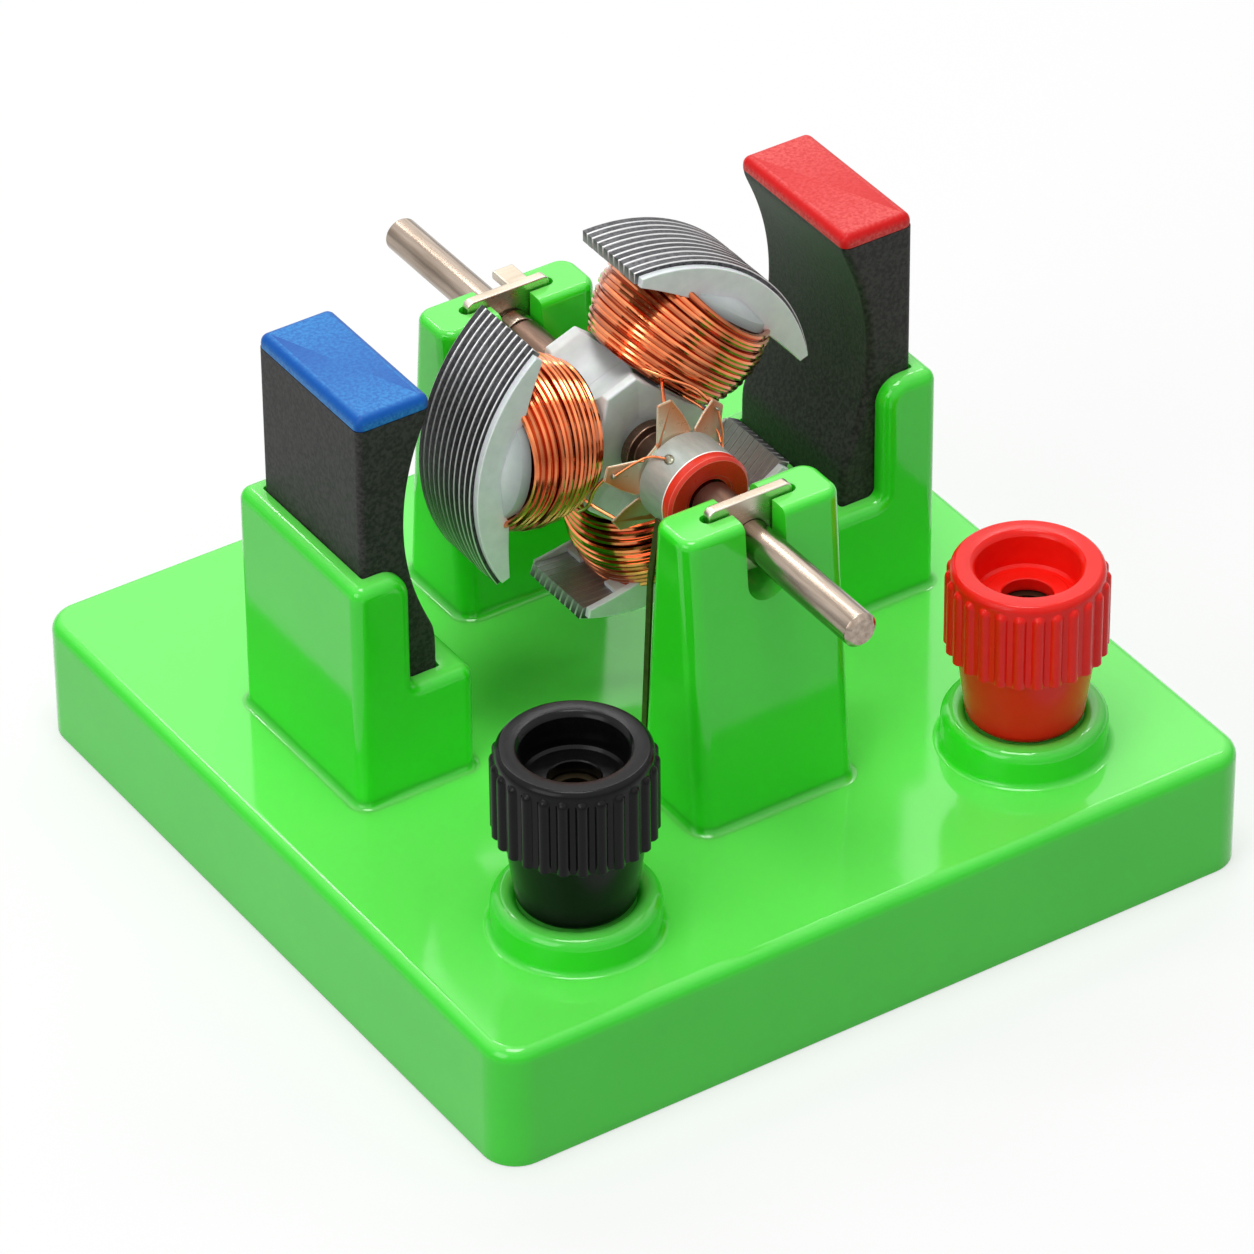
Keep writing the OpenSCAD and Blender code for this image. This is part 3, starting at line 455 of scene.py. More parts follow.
class Workshop:
    """Turns surfaces into pieces of the scene."""

    SHARP = math.radians(38)
    SOFT_STEPS = 3

    @staticmethod
    def mesh(name: str, surface: Surface) -> bpy.types.Mesh:
        """Makes a mesh in metres, with the edge and tone values as point attributes.

        Args:
            name: name of the mesh.
            surface: what it holds.

        Returns:
            The mesh.
        """
        mesh = bpy.data.meshes.new(name)
        corners = np.concatenate([f.reshape(-1) for f in surface.faces]).astype(np.int32)
        counts = np.concatenate([np.full(len(f), f.shape[1]) for f in surface.faces])
        mesh.vertices.add(len(surface.points))
        mesh.vertices.foreach_set("co", (surface.points * MM).astype(np.float32).ravel())
        mesh.loops.add(len(corners))
        mesh.loops.foreach_set("vertex_index", corners)
        mesh.polygons.add(len(counts))
        mesh.polygons.foreach_set("loop_start", (np.cumsum(counts) - counts).astype(np.int32))
        for key, values in (("edge", surface.edge), ("tone", surface.tone)):
            mesh.attributes.new(key, "FLOAT", "POINT").data.foreach_set("value", values.astype(np.float32))
        mesh.update(calc_edges=True)
        mesh.validate()
        return mesh

    @staticmethod
    def settle(piece: bpy.types.Object) -> None:
        """Replaces a piece's mesh by what its modifiers make of it.

        Args:
            piece: the piece, which keeps no modifier.
        """
        graph = bpy.context.evaluated_depsgraph_get()
        made = bpy.data.meshes.new_from_object(piece.evaluated_get(graph), depsgraph=graph)
        piece.modifiers.clear()
        piece.data = made

    @classmethod
    def carve(cls, piece: bpy.types.Object, cutters: Sequence[Surface]) -> None:
        """Cuts surfaces out of a piece.

        Args:
            piece: the piece.
            cutters: closed surfaces that may not touch each other.
        """
        tool = bpy.data.objects.new("cutter", cls.mesh("cutter", Surface.joined(cutters)))
        bpy.context.scene.collection.objects.link(tool)
        cut = piece.modifiers.new("cut", "BOOLEAN")
        cut.operation, cut.solver, cut.object = "DIFFERENCE", "EXACT", tool
        cls.settle(piece)
        bpy.data.objects.remove(tool)

    @classmethod
    def soften(cls, piece: bpy.types.Object, width: float) -> None:
        """Rounds every edge of a piece that is sharper than the smoothing angle.

        Args:
            piece: the piece.
            width: how wide the rounding is.
        """
        bevel = piece.modifiers.new("soft edges", "BEVEL")
        bevel.width, bevel.segments = width * MM, cls.SOFT_STEPS
        bevel.limit_method, bevel.angle_limit = "ANGLE", cls.SHARP
        bevel.use_clamp_overlap = True
        cls.settle(piece)

    @classmethod
    def piece(cls, name: str, surface: Surface) -> bpy.types.Object:
        """Puts a surface into the scene as an object at the origin.

        Args:
            name: name of the piece.
            surface: its surface.

        Returns:
            The piece, not yet dressed.
        """
        made = bpy.data.objects.new(name, cls.mesh(name, surface))
        bpy.context.scene.collection.objects.link(made)
        return made

    @classmethod
    def join(cls, piece: bpy.types.Object, surface: Surface) -> None:
        """Adds a surface to a piece's mesh.

        Args:
            piece: the piece.
            surface: what is added.
        """
        other = cls.piece("joined", surface)
        with bpy.context.temp_override(active_object=piece, selected_editable_objects=[piece, other]):
            bpy.ops.object.join()

    @classmethod
    def dress(cls, piece: bpy.types.Object, finish: "Finish", body: Body, nodes: Sequence[str] = (),
              weighted: bool = True) -> None:
        """Smooths a new piece, gives it its finish, body and slot, and hides the nodes that it stands for.

        Args:
            piece: the piece.
            finish: its finish.
            body: the body that it rides on.
            nodes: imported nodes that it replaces.
            weighted: whether large faces set the shading.
        """
        mesh = piece.data
        mesh.polygons.foreach_set("use_smooth", np.ones(len(mesh.polygons), bool))
        mesh.set_sharp_from_angle(angle=cls.SHARP)
        if weighted:
            weigh = piece.modifiers.new("weighted normals", "WEIGHTED_NORMAL")
            weigh.keep_sharp, weigh.weight = True, 100
        mesh.materials.clear()
        mesh.materials.append(finish.material())
        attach(piece, body.value)
        if nodes:
            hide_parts(*nodes)
        log.info("%s: %d faces, %s", piece.name, len(mesh.polygons), finish.slot)

    @classmethod
    def make(cls, name: str, surface: Surface, finish: "Finish", body: Body,
             nodes: Sequence[str] = (), weighted: bool = True) -> None:
        """Makes and dresses a piece, as piece() and dress() say."""
        cls.dress(cls.piece(name, surface), finish, body, nodes, weighted)

    @staticmethod
    def refinish(node: str, finish: "Finish") -> None:
        """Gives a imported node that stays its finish.

        Args:
            node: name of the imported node.
            finish: its finish.
        """
        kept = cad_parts[node]
        kept.data.materials.clear()
        kept.data.materials.append(finish.material())
        log.info("%s: kept, %s", node, finish.slot)


class Tree:
    """Short way to add and link the nodes of one shader tree."""

    def __init__(self, tree: bpy.types.NodeTree) -> None:
        """Works on an emptied tree."""
        self.tree = tree
        tree.nodes.clear()

    def add(self, kind: str, sockets: Optional[dict] = None, **settings: object) -> bpy.types.Node:
        """Adds a node.

        Args:
            kind: its type.
            sockets: input name or number to a value, or to an output that feeds it.
            settings: its own settings.

        Returns:
            The node.
        """
        node = self.tree.nodes.new(kind)
        for key, value in settings.items():
            setattr(node, key, value)
        for key, value in (sockets or {}).items():
            if isinstance(value, bpy.types.NodeSocket):
                self.tree.links.new(value, node.inputs[key])
            else:
                node.inputs[key].default_value = value
        return node

    def blend(self, share: object, first: object, second: object) -> bpy.types.NodeSocket:
        """Mixes two colours by a share.

        Args:
            share: number or output from 0 to 1.
            first: colour or output at 0.
            second: colour or output at 1.

        Returns:
            The mixed colour.
        """
        return self.add("ShaderNodeMix", {0: share, 6: first, 7: second}, data_type="RGBA").outputs[2]

    def sums(self, operation: str, first: object, second: object) -> bpy.types.NodeSocket:
        """Puts two numbers together by a maths operation."""
        return self.add("ShaderNodeMath", {0: first, 1: second}, operation=operation).outputs[0]


class Effects:
    """Node groups that several finishes share."""

    _made: dict[str, bpy.types.NodeTree] = {}
    finishes: dict[str, bpy.types.Material] = {}

    @classmethod
    def group(cls, name: str, inputs: dict[str, object], outputs: dict[str, str]) -> tuple[Tree, dict, dict]:
        """Starts a node group.

        Args:
            name: its name.
            inputs: input name to its first value: a number, or three or four of them.
            outputs: output name to its socket type.

        Returns:
            The tree, its input sockets by name, and its output sockets by name.
        """
        tree = bpy.data.node_groups.new(name, "ShaderNodeTree")
        kinds = {1: "NodeSocketFloat", 3: "NodeSocketVector", 4: "NodeSocketColor"}
        for key, value in inputs.items():
            size = len(value) if isinstance(value, tuple) else 1
            made = tree.interface.new_socket(key, in_out="INPUT", socket_type=kinds[size])
            made.default_value = value
        for key, kind in outputs.items():
            tree.interface.new_socket(key, in_out="OUTPUT", socket_type=kind)
        work = Tree(tree)
        given = work.add("NodeGroupInput").outputs
        wanted = work.add("NodeGroupOutput").inputs
        cls._made[name] = tree
        return work, {k: given[k] for k in inputs}, {k: wanted[k] for k in outputs}

    @classmethod
    def fine_grain(cls) -> bpy.types.NodeTree:
        """Two layers of noise, one eight times finer: a mask of patches and a height of small relief.

        Returns:
            The group, made once.
        """
        if "fine grain" in cls._made:
            return cls._made["fine grain"]
        work, given, wanted = cls.group(
            "fine grain", {"Vector": (0.0, 0.0, 0.0), "Scale": 1000.0, "Contrast": 0.3},
            {"Mask": "NodeSocketFloat", "Height": "NodeSocketFloat"})
        coarse = work.add("ShaderNodeTexNoise", {"Vector": given["Vector"], "Scale": given["Scale"],
                                                 "Detail": 4.0, "Roughness": 0.55})
        finer = work.sums("MULTIPLY", given["Scale"], 8.0)
        fine = work.add("ShaderNodeTexNoise", {"Vector": given["Vector"], "Scale": finer, "Detail": 2.0})
        low = work.sums("SUBTRACT", 0.5, given["Contrast"])
        high = work.sums("ADD", 0.5, given["Contrast"])
        mask = work.add("ShaderNodeMapRange",
                        {"Value": coarse.outputs[0], "From Min": low, "From Max": high})
        both = work.sums("MULTIPLY_ADD", fine.outputs[0], 0.35)
        work.tree.links.new(coarse.outputs[0], both.node.inputs[2])
        work.tree.links.new(mask.outputs[0], wanted["Mask"])
        work.tree.links.new(both, wanted["Height"])
        return work.tree

    @classmethod
    def layered_colour(cls) -> bpy.types.NodeTree:
        """Base and second colour by a mask, then a tone colour and an edge colour laid over them. In some
        finishes the tone colour is painted shade and the edge colour a painted highlight.

        Returns:
            The group, made once.
        """
        if "layered colour" in cls._made:
            return cls._made["layered colour"]
        grey = (0.5, 0.5, 0.5, 1.0)
        work, given, wanted = cls.group(
            "layered colour", {"Base": grey, "Second": grey, "Mask": 0.0, "Edge Colour": grey,
                               "Edge": 0.0, "Tone And Shade Colour": grey, "Tone": 0.0},
            {"Colour": "NodeSocketColor"})
        mixed = work.blend(given["Mask"], given["Base"], given["Second"])
        toned = work.blend(given["Tone"], mixed, given["Tone And Shade Colour"])
        edged = work.blend(given["Edge"], toned, given["Edge Colour"])
        work.tree.links.new(edged, wanted["Colour"])
        return work.tree


def linear(colour: Colour) -> tuple[float, float, float, float]:
    """Linear values of a display colour, by the sRGB curve.

    Args:
        colour: red, green and blue from 0 to 255.

    Returns:
        Red, green, blue and 1, from 0 to 1.
    """
    share = np.array(colour) / 255
    value = np.where(share <= 0.04045, share / 12.92, ((share + 0.055) / 1.055) ** 2.4)
    return (*[float(v) for v in value], 1.0)


@dataclass(frozen=True)
class Finish:
    """One surface finish: its colours, gloss and fine relief.

    Second is the colour of its patches, and scale how fine they are. The edge and tone colours show where
    a piece's edge and tone values are high; in some finishes the edge colour is a painted highlight and the
    tone colour painted shade. The painted top light is a paler colour where the piece faces up: a painted
    highlight for light from above. Relief and glow_depth are in millimetres. Variant tells finishes of one
    slot apart.
    """

    slot: str
    colour: Colour
    second: Colour
    rough: float
    metal: float = 0.0
    scale: float = 1000.0
    contrast: float = 0.25
    relief: float = 0.01
    rough_swing: float = 0.08
    stretch: tuple[float, float, float] = (1.0, 1.0, 1.0)
    edge_colour: Optional[Colour] = None
    edge_share: float = 0.0
    tone_and_shade_colour: Optional[Colour] = None
    tone_and_shade_share: float = 1.0
    coat: float = 0.0
    gloss: float = 0.5
    glow_depth: float = 0.0
    glow_weight: float = 0.0
    painted_top_light: Optional[Colour] = None
    variant: str = ""

    def material(self) -> bpy.types.Material:
        """Builds the finish's material once.

        Returns:
            The material.
        """
        name = self.slot + self.variant + "_finish"
        if name in Effects.finishes:
            return Effects.finishes[name]
        made = bpy.data.materials.new(name)
        Effects.finishes[name] = made
        made.use_nodes = True
        work = Tree(made.node_tree)
        place = work.add("ShaderNodeTexCoord").outputs["Object"]
        turned = work.add("ShaderNodeMapping", {"Vector": place, "Scale": self.stretch}).outputs[0]
        grain = work.add("ShaderNodeGroup", node_tree=Effects.fine_grain())
        work.tree.links.new(turned, grain.inputs["Vector"])
        grain.inputs["Scale"].default_value = self.scale
        grain.inputs["Contrast"].default_value = self.contrast
        mask, height = grain.outputs["Mask"], grain.outputs["Height"]
        edge = work.add("ShaderNodeAttribute", attribute_name="edge").outputs["Fac"]
        tone = work.add("ShaderNodeAttribute", attribute_name="tone").outputs["Fac"]
        colour = work.add("ShaderNodeGroup", node_tree=Effects.layered_colour())
        for socket, value in (("Base", linear(self.colour)), ("Second", linear(self.second)),
                              ("Edge Colour", linear(self.edge_colour or self.colour)),
                              ("Tone And Shade Colour", linear(self.tone_and_shade_colour or self.colour))):
            colour.inputs[socket].default_value = value
        work.tree.links.new(mask, colour.inputs["Mask"])
        work.tree.links.new(work.sums("MULTIPLY", edge, self.edge_share), colour.inputs["Edge"])
        work.tree.links.new(work.sums("MULTIPLY", tone, self.tone_and_shade_share), colour.inputs["Tone"])
        shade = colour.outputs[0]
        # Painted highlight: faces that point up blend towards a paler colour, standing in for light from
        # above.
        if self.painted_top_light:
            normal = work.add("ShaderNodeTexCoord").outputs["Normal"]
            up = work.add("ShaderNodeSeparateXYZ", {0: normal}).outputs["Z"]
            flat = work.add("ShaderNodeMapRange", {"Value": up, "From Min": 0.7, "From Max": 1.0}).outputs[0]
            shade = work.blend(flat, shade, linear(self.painted_top_light))
        rough = work.add("ShaderNodeMapRange", {"Value": height, "From Min": 0.3, "From Max": 1.0,
                                                "To Min": self.rough - self.rough_swing,
                                                "To Max": self.rough + self.rough_swing}).outputs[0]
        bump = work.add("ShaderNodeBump", {"Height": height, "Distance": self.relief * MM, "Strength": 1.0})
        shader = work.add("ShaderNodeBsdfPrincipled", {
            "Base Color": shade, "Roughness": rough, "Metallic": self.metal,
            "Specular IOR Level": self.gloss,
            "Normal": bump.outputs[0], "Coat Weight": self.coat, "Coat Roughness": 0.08,
            "Subsurface Weight": self.glow_weight, "Subsurface Scale": self.glow_depth * MM})
        shader.inputs["Subsurface Radius"].default_value = (0.35, 1.0, 0.3)
        work.add("ShaderNodeOutputMaterial", {"Surface": shader.outputs[0]})
        return made


# The paler top colour here is a painted highlight: upward faces look lit from above.
GREEN = Finish("green_moulding", (52, 224, 38), (58, 230, 44), 0.1, scale=60,
               relief=0.02, rough_swing=0.02, glow_weight=0.3, glow_depth=3.0, painted_top_light=(104, 238, 90))
FERRITE = Finish("ferrite", (34, 33, 33), (60, 58, 58), 0.5, scale=2200, contrast=0.1, relief=0.05,
                 gloss=0.2)
BLUE = Finish("blue_cap", (16, 104, 186), (48, 138, 208), 0.36, scale=2600, contrast=0.14, relief=0.03,
              edge_colour=(0, 84, 172), edge_share=1.0, gloss=0.2)
RED_CAP = Finish("red_cap", (214, 40, 40), (230, 90, 86), 0.36, scale=2600, contrast=0.14, relief=0.03,
                 edge_colour=(212, 16, 18), edge_share=1.0, gloss=0.2)
PLATE = Finish("plate_steel", (200, 188, 170), (164, 150, 132), 0.28, 1.0, 900,
               stretch=(0.25, 1.0, 1.0), relief=0.006, edge_colour=(240, 232, 220), edge_share=0.6)
ROD = Finish("shaft_steel", (182, 168, 154), (136, 120, 106), 0.2, 1.0, 1400,
             stretch=(1.0, 0.08, 1.0), relief=0.004)
ZINC = Finish("zinc_steel", (196, 198, 202), (170, 172, 178), 0.35, 1.0, scale=800)
# The near-white edge colour is a painted highlight along the rounded sheet edges.
SHEET = Finish("lamination_steel", (58, 58, 60), (92, 92, 94), 0.42, 0.8, 2200,
               contrast=0.1, relief=0.04, edge_colour=(244, 244, 244), edge_share=0.9,
               tone_and_shade_colour=(40, 40, 42), tone_and_shade_share=0.5)
TABS = Finish("spring_brass", (216, 230, 206), (194, 208, 182), 0.3, 0.2, scale=900,
              edge_colour=(196, 112, 60), edge_share=1.0, relief=0.006)
STRIP = Finish("spring_brass", (104, 92, 56), (80, 70, 40), 0.4, 0.8, scale=900, variant="_strip")
BRASS = Finish("stud_brass", (96, 84, 62), (74, 64, 46), 0.4, 1.0, scale=900)
# Brass darkened to near black on the inserts: painted shade inside the caps' bores.
SHADED_INSERT = Finish("stud_brass", (20, 18, 16), (12, 11, 10), 0.5, 0.6, scale=900, variant="_shaded_insert")
# The dark tone colour varies the turns at random and, on the under layers, is painted shade.
COPPER = Finish("copper", (244, 154, 100), (216, 104, 54), 0.15, 1.0, 260, contrast=0.3,
                relief=0.006, tone_and_shade_colour=(112, 36, 12), tone_and_shade_share=0.9, coat=0.4)
TINNED = Finish("tinned_copper", (186, 192, 186), (160, 168, 160), 0.5, 0.6, 1200,
                stretch=(1.0, 0.3, 1.0), relief=0.02, edge_colour=(250, 250, 244), edge_share=1.0)
SOLDER = Finish("tinned_copper", (150, 150, 132), (120, 118, 96), 0.3, 0.7, scale=900, variant="_solder")
# The dark tone colour is painted shade, laid on the stops where they meet the windings.
BOARD = Finish("white_insulator", (236, 243, 242), (222, 231, 229), 0.4, scale=700, relief=0.01,
               edge_colour=(246, 250, 250), edge_share=0.6, glow_weight=0.2, glow_depth=0.8,
               tone_and_shade_colour=(104, 110, 110), tone_and_shade_share=1.0)
TUBING = Finish("dark_insulator", (132, 106, 90), (96, 76, 64), 0.3, 0.9, scale=900,
                stretch=(1.0, 0.1, 1.0), relief=0.008)
FIBRE = Finish("red_fibre", (236, 58, 38), (220, 48, 30), 0.3, scale=900, gloss=0.35,
               edge_colour=(244, 150, 130), edge_share=0.6)
BLACK = Finish("black_plastic", (10, 10, 11), (15, 15, 16), 0.2, scale=1200, relief=0.006, rough_swing=0.04,
               gloss=0.15)
RED = Finish("red_plastic", (236, 24, 14), (240, 32, 20), 0.2, scale=700, relief=0.004, rough_swing=0.03,
             gloss=0.22, glow_weight=0.2, glow_depth=1.2)
BLACK_LEAD = Finish("black_lead", (24, 24, 24), (34, 34, 34), 0.4, scale=900)
RED_LEAD = Finish("red_lead", (190, 24, 18), (170, 20, 16), 0.4, scale=900)


@dataclass
class Moulding:
    """The green stand: a hollow base with two collars, two magnet sockets and two slotted pillars."""

    corner_r: float = 4.0
    edge_r: float = 1.5
    wall: float = 2.6
    deck_t: float = 3.0
    rim_r: float = 0.3
    inner_r: float = 1.0
    foot_r: float = 0.8
    collar_r: float = 9.0
    crest_r: float = 7.6
    crest_h: float = 1.3
    dish_foot_r: float = 6.3
    bore_r: float = 3.05
    seat_drop: float = 0.9
    terminal_sides: int = 96
    socket_r: float = 1.5
    shoulder_r: float = 3.0
    socket_high_len: float = 7.0
    socket_low_h: float = 13.3
    pocket_gap: float = 0.1
    socket_floor: float = 2.0
    pillar_r: float = 2.0
    pillar_edge_r: float = 1.0
    pillar_top_d: float = 6.6
    pillar_rows: int = 12
    slot_w: float = 5.0
    slot_low: float = 41.0
    lip_soft: float = 0.35
    notch_t: float = 0.5
    notch_len: float = 1.3
    clear: float = 5.0

    def __post_init__(self) -> None:
        """Reads the base's box, the deck's height and the thickness of a bearing plate."""
        self.base = Span.of("base_plate")
        self.deck_z = Span.of("pillar_front").lo[2]
        self.plate_t = float(Span.of("bearing_plate_front").size[1])

    def terminals(self) -> list[tuple[float, float]]:
        """Places of the two terminals' axes."""
        return [tuple(Span.of(node).mid[:2]) for node in ("stud_black", "stud_red")]

    def collar(self, x: float, y: float) -> Surface:
        """Collar round one terminal: a profile from the bore's foot up to the seat, over the lip, down to
        the deck and out along a hollow rounding. The lip is a quarter of an ellipse on each side of its
        crest. The first and last rings stay open for the deck.

        Args:
            x: place of the terminal's axis along X.
            y: place of the terminal's axis along Y.

        Returns:
            The open surface.
        """
        z = self.deck_z
        top = self.base.hi[2]
        seat = top - self.seat_drop
        a = np.linspace(0, math.pi / 2, 9)
        inner = np.stack([self.crest_r - (self.crest_r - self.dish_foot_r) * np.cos(a),
                          seat + self.seat_drop * np.sin(a)], 1)
        outer = np.stack([self.crest_r + (self.collar_r - self.crest_r) * np.sin(a),
                          top - self.crest_h + self.crest_h * np.cos(a)], 1)
        lip = np.concatenate([inner, outer[1:]])
        b = np.linspace(0, math.pi / 2, 7)
        foot = np.stack([self.collar_r + self.foot_r * (1 - np.cos(b)),
                         z + self.foot_r * (1 - np.sin(b))], 1)
        start = np.array([[self.bore_r, z - self.deck_t], [self.bore_r, seat - 0.15],
                          [self.bore_r + 0.15, seat], [self.dish_foot_r - 0.1, seat]])
        profile = np.concatenate([start, lip, foot])
        rings = round_about(profile, self.terminal_sides) + np.array([x, y, 0])
        rows, cols = rings.shape[:2]
        index = np.arange(rows * cols).reshape(rows, cols)
        quads = np.stack([index[:-1], index[1:], np.roll(index[1:], -1, 1), np.roll(index[:-1], -1, 1)], -1)
        count = rows * cols
        return Surface(rings.reshape(-1, 3), [quads.reshape(-1, 4)], np.zeros(count), np.zeros(count))

    def shell(self) -> Surface:
        """Hollow base: rings of one rounded rectangle from the deck's underside down the inner wall, round
        the rim, up the outer wall and over the edge. The two flats are filled round the collars' rings.

        Returns:
            The closed surface.
        """
        plan = Outline.block(self.base.size[0], self.base.size[1], self.corner_r, 10)
        off, up, _ = rounding(self.edge_r, 6)
        rim, rise, _ = rounding(self.rim_r, 3)
        z, under = self.deck_z, self.deck_z - self.deck_t
        inner, hollow, _ = rounding(self.inner_r, 4)
        offset = np.concatenate([-self.wall + inner, -self.wall - rim[::-1], rim, off[::-1]])
        height = np.concatenate([under - hollow, rise[::-1], rise, z - up[::-1]])
        place = plan.points[None] + offset[:, None, None] * plan.miters[None] + self.base.mid[:2]
        skin = Surface.of_rings(raised(place, height), caps=(False, False))
        parts = [skin] + [self.collar(x, y) for x, y in self.terminals()]
        whole = Surface.joined(parts)
        starts = np.cumsum([0] + [len(p.points) for p in parts])
        cols, last = len(plan.points), len(skin.points)
        ring_n = self.terminal_sides
        for low in (True, False):
            loops = [np.arange(cols) + (0 if low else last - cols)]
            for k in (1, 2):
                first = starts[k] if low else starts[k + 1] - ring_n
                loops.append(np.arange(ring_n)[::-1] + first)
            fill = tessellate_polygon([[Vector(whole.points[i]) for i in loop] for loop in loops])
            corners = np.concatenate(loops)[np.array(fill)]
            a, b, c = (whole.points[corners[:, k]] for k in range(3))
            facing_up = np.cross(b - a, c - a)[:, 2] > 0
            corners = np.where((facing_up == low)[:, None], corners[:, ::-1], corners)
            whole.faces.append(corners)
        return whole

    def foot(self, plan: Outline, z: float, lean: np.ndarray) -> Surface:
        """Hollow rounding where a tower meets the deck: a thin wedge carried round the tower's outline.

        Args:
            plan: outline of the tower at the deck.
            z: height of the deck.
            lean: how far each point of the outline leans in over the height of the rounding.

        Returns:
            The closed ring.
        """
        f, sunk = self.foot_r, 0.06
        b = np.linspace(0, math.pi / 2, 7)
        offset = np.concatenate([f * (1 - np.cos(b)), [f, -sunk * 2, -sunk * 2]])
        height = np.concatenate([f * (1 - np.sin(b)), [-sunk, -sunk, f]])
        inwards = offset[:, None] - lean[None] * height[:, None] / f
        place = plan.points[None] + inwards[..., None] * plan.miters[None]
        return Surface.of_rings(raised(place, z + height), wrap=True)

    def socket(self, side: int) -> None:
        """Makes one magnet socket: its stepped side view carried from front to rear, with a pocket cut in.

        Args:
            side: -1 for the left one and 1 for the right one.
        """
        node = "socket_right" if side > 0 else "socket_left"
        right = Span.of("socket_right")
        magnet = Span.of("magnet_right")
        x0, x1, z0, z1 = right.lo[0], right.hi[0], right.lo[2] - self.deck_t + 0.1, right.hi[2]
        step_x, step_z = x1 - self.socket_high_len, right.lo[2] + self.socket_low_h
        view = Outline.rounded([
            (x0, z0, 0), (x1, z0, 0), (x1, z1, self.socket_r), (step_x, z1, self.shoulder_r),
            (step_x, step_z, 1.0), (x0, step_z, self.socket_r)], 8)
        body = slab(view, right.lo[1], right.hi[1], (self.socket_r, self.socket_r), 6).placed(ALONG_Y)
        gap = self.pocket_gap
        pocket = slab(
            Outline.block(magnet.size[0] + 2 * gap, magnet.size[1] + 2 * gap, 0.3, 2)
            .moved(magnet.mid[0], magnet.mid[1]), right.lo[2] + self.socket_floor, z1 + self.clear,
            (0.05, 0.05), 1)
        plan = Outline.block(right.size[0], right.size[1], self.socket_r, 8).moved(*right.mid[:2])
        foot = self.foot(plan, right.lo[2], np.zeros(len(plan.points)))
        if side < 0:
            body, pocket, foot = body.mirrored_x(), pocket.mirrored_x(), foot.mirrored_x()
        piece = Workshop.piece(node + "_moulding", body)
        Workshop.carve(piece, [pocket])
        Workshop.soften(piece, self.lip_soft)
        Workshop.join(piece, foot)
        Workshop.dress(piece, GREEN, Body.STAND, [node])

    def pillar(self, node: str, plate: str) -> None:
        """Makes one pillar: rounded rectangles that get shallower as they rise, with a round-bottomed slot
        for the shaft and a narrow one for the bearing plate.

        Args:
            node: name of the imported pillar.
            plate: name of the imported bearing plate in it.
        """
        box, held = Span.of(node), Span.of(plate)
        low, high = box.lo[2], box.hi[2]
        foot_d, edge, rows = box.size[1], self.pillar_edge_r, self.pillar_rows
        unit = Outline.block(box.size[0], foot_d, self.pillar_r, 8)
        off, up, soft = rounding(edge, 6)
        height = np.concatenate([[low - 0.2], np.linspace(low, high - edge, rows), (high - up[::-1])[1:]])
        inset = np.concatenate([np.zeros(rows + 1), off[::-1][1:]])
        lean = (foot_d - self.pillar_top_d) / 2 * np.clip((height - low) / (high - edge - low), 0, 1)
        points = unit.points[None] + inset[:, None, None] * unit.miters[None]
        points = points - np.sign(unit.points[None]) * np.array([0, 1]) * lean[:, None, None]
        points = points + box.mid[:2]
        soft_rows = np.concatenate([np.zeros(rows + 1), soft[::-1][1:]])
        body = Surface.of_rings(raised(points, height), np.repeat(soft_rows[:, None], len(unit.points), 1))
        half, far = self.slot_w / 2, box.size[1]
        slot = slab(Outline.rounded([(-half, self.slot_low, half - 0.01), (half, self.slot_low, half - 0.01),
                                     (half, high + self.clear, 0), (-half, high + self.clear, 0)], 16),
                    box.mid[1] - far, box.mid[1] + far, (0.01, 0.01), 1).placed(ALONG_Y)
        mid_y = held.lo[1] + self.plate_t / 2
        notch = self.plate_t + self.notch_t
        plan = Outline.block(held.size[0] + self.notch_len, notch, notch / 2 - 0.01, 8).moved(0, mid_y)
        groove = slab(plan, held.lo[2] - 0.02, high + self.clear, (0.01, 0.01), 1)
        piece = Workshop.piece(node + "_moulding", body)
        Workshop.carve(piece, [slot])
        Workshop.carve(piece, [groove])
        Workshop.soften(piece, self.lip_soft)
        rise = self.foot_r / (high - edge - low) * (foot_d - self.pillar_top_d) / 2
        plan = unit.moved(*box.mid[:2])
        Workshop.join(piece, self.foot(plan, low, rise * np.abs(unit.miters[:, 1])))
        Workshop.dress(piece, GREEN, Body.STAND, [node])

    def build(self) -> None:
        """Makes the base, the sockets and the pillars."""
        base = Workshop.piece("base_moulding", self.shell())
        strips = Brushes()
        slots = []
        for side in (-1, 1):
            hole = Outline.block(strips.thick + 0.2, strips.wide + 0.2, 0.1, 2)
            slots.append(slab(hole.moved(side * strips.foot_x, strips.mid_y), self.deck_z - self.deck_t - 1,
                              self.deck_z + 1, (0.01, 0.01), 1))
        Workshop.carve(base, slots)
        Workshop.dress(base, GREEN, Body.STAND, ["base_plate"])
        for side in (-1, 1):
            self.socket(side)
        self.pillar("pillar_front", "bearing_plate_front")
        self.pillar("pillar_rear", "bearing_plate_rear")


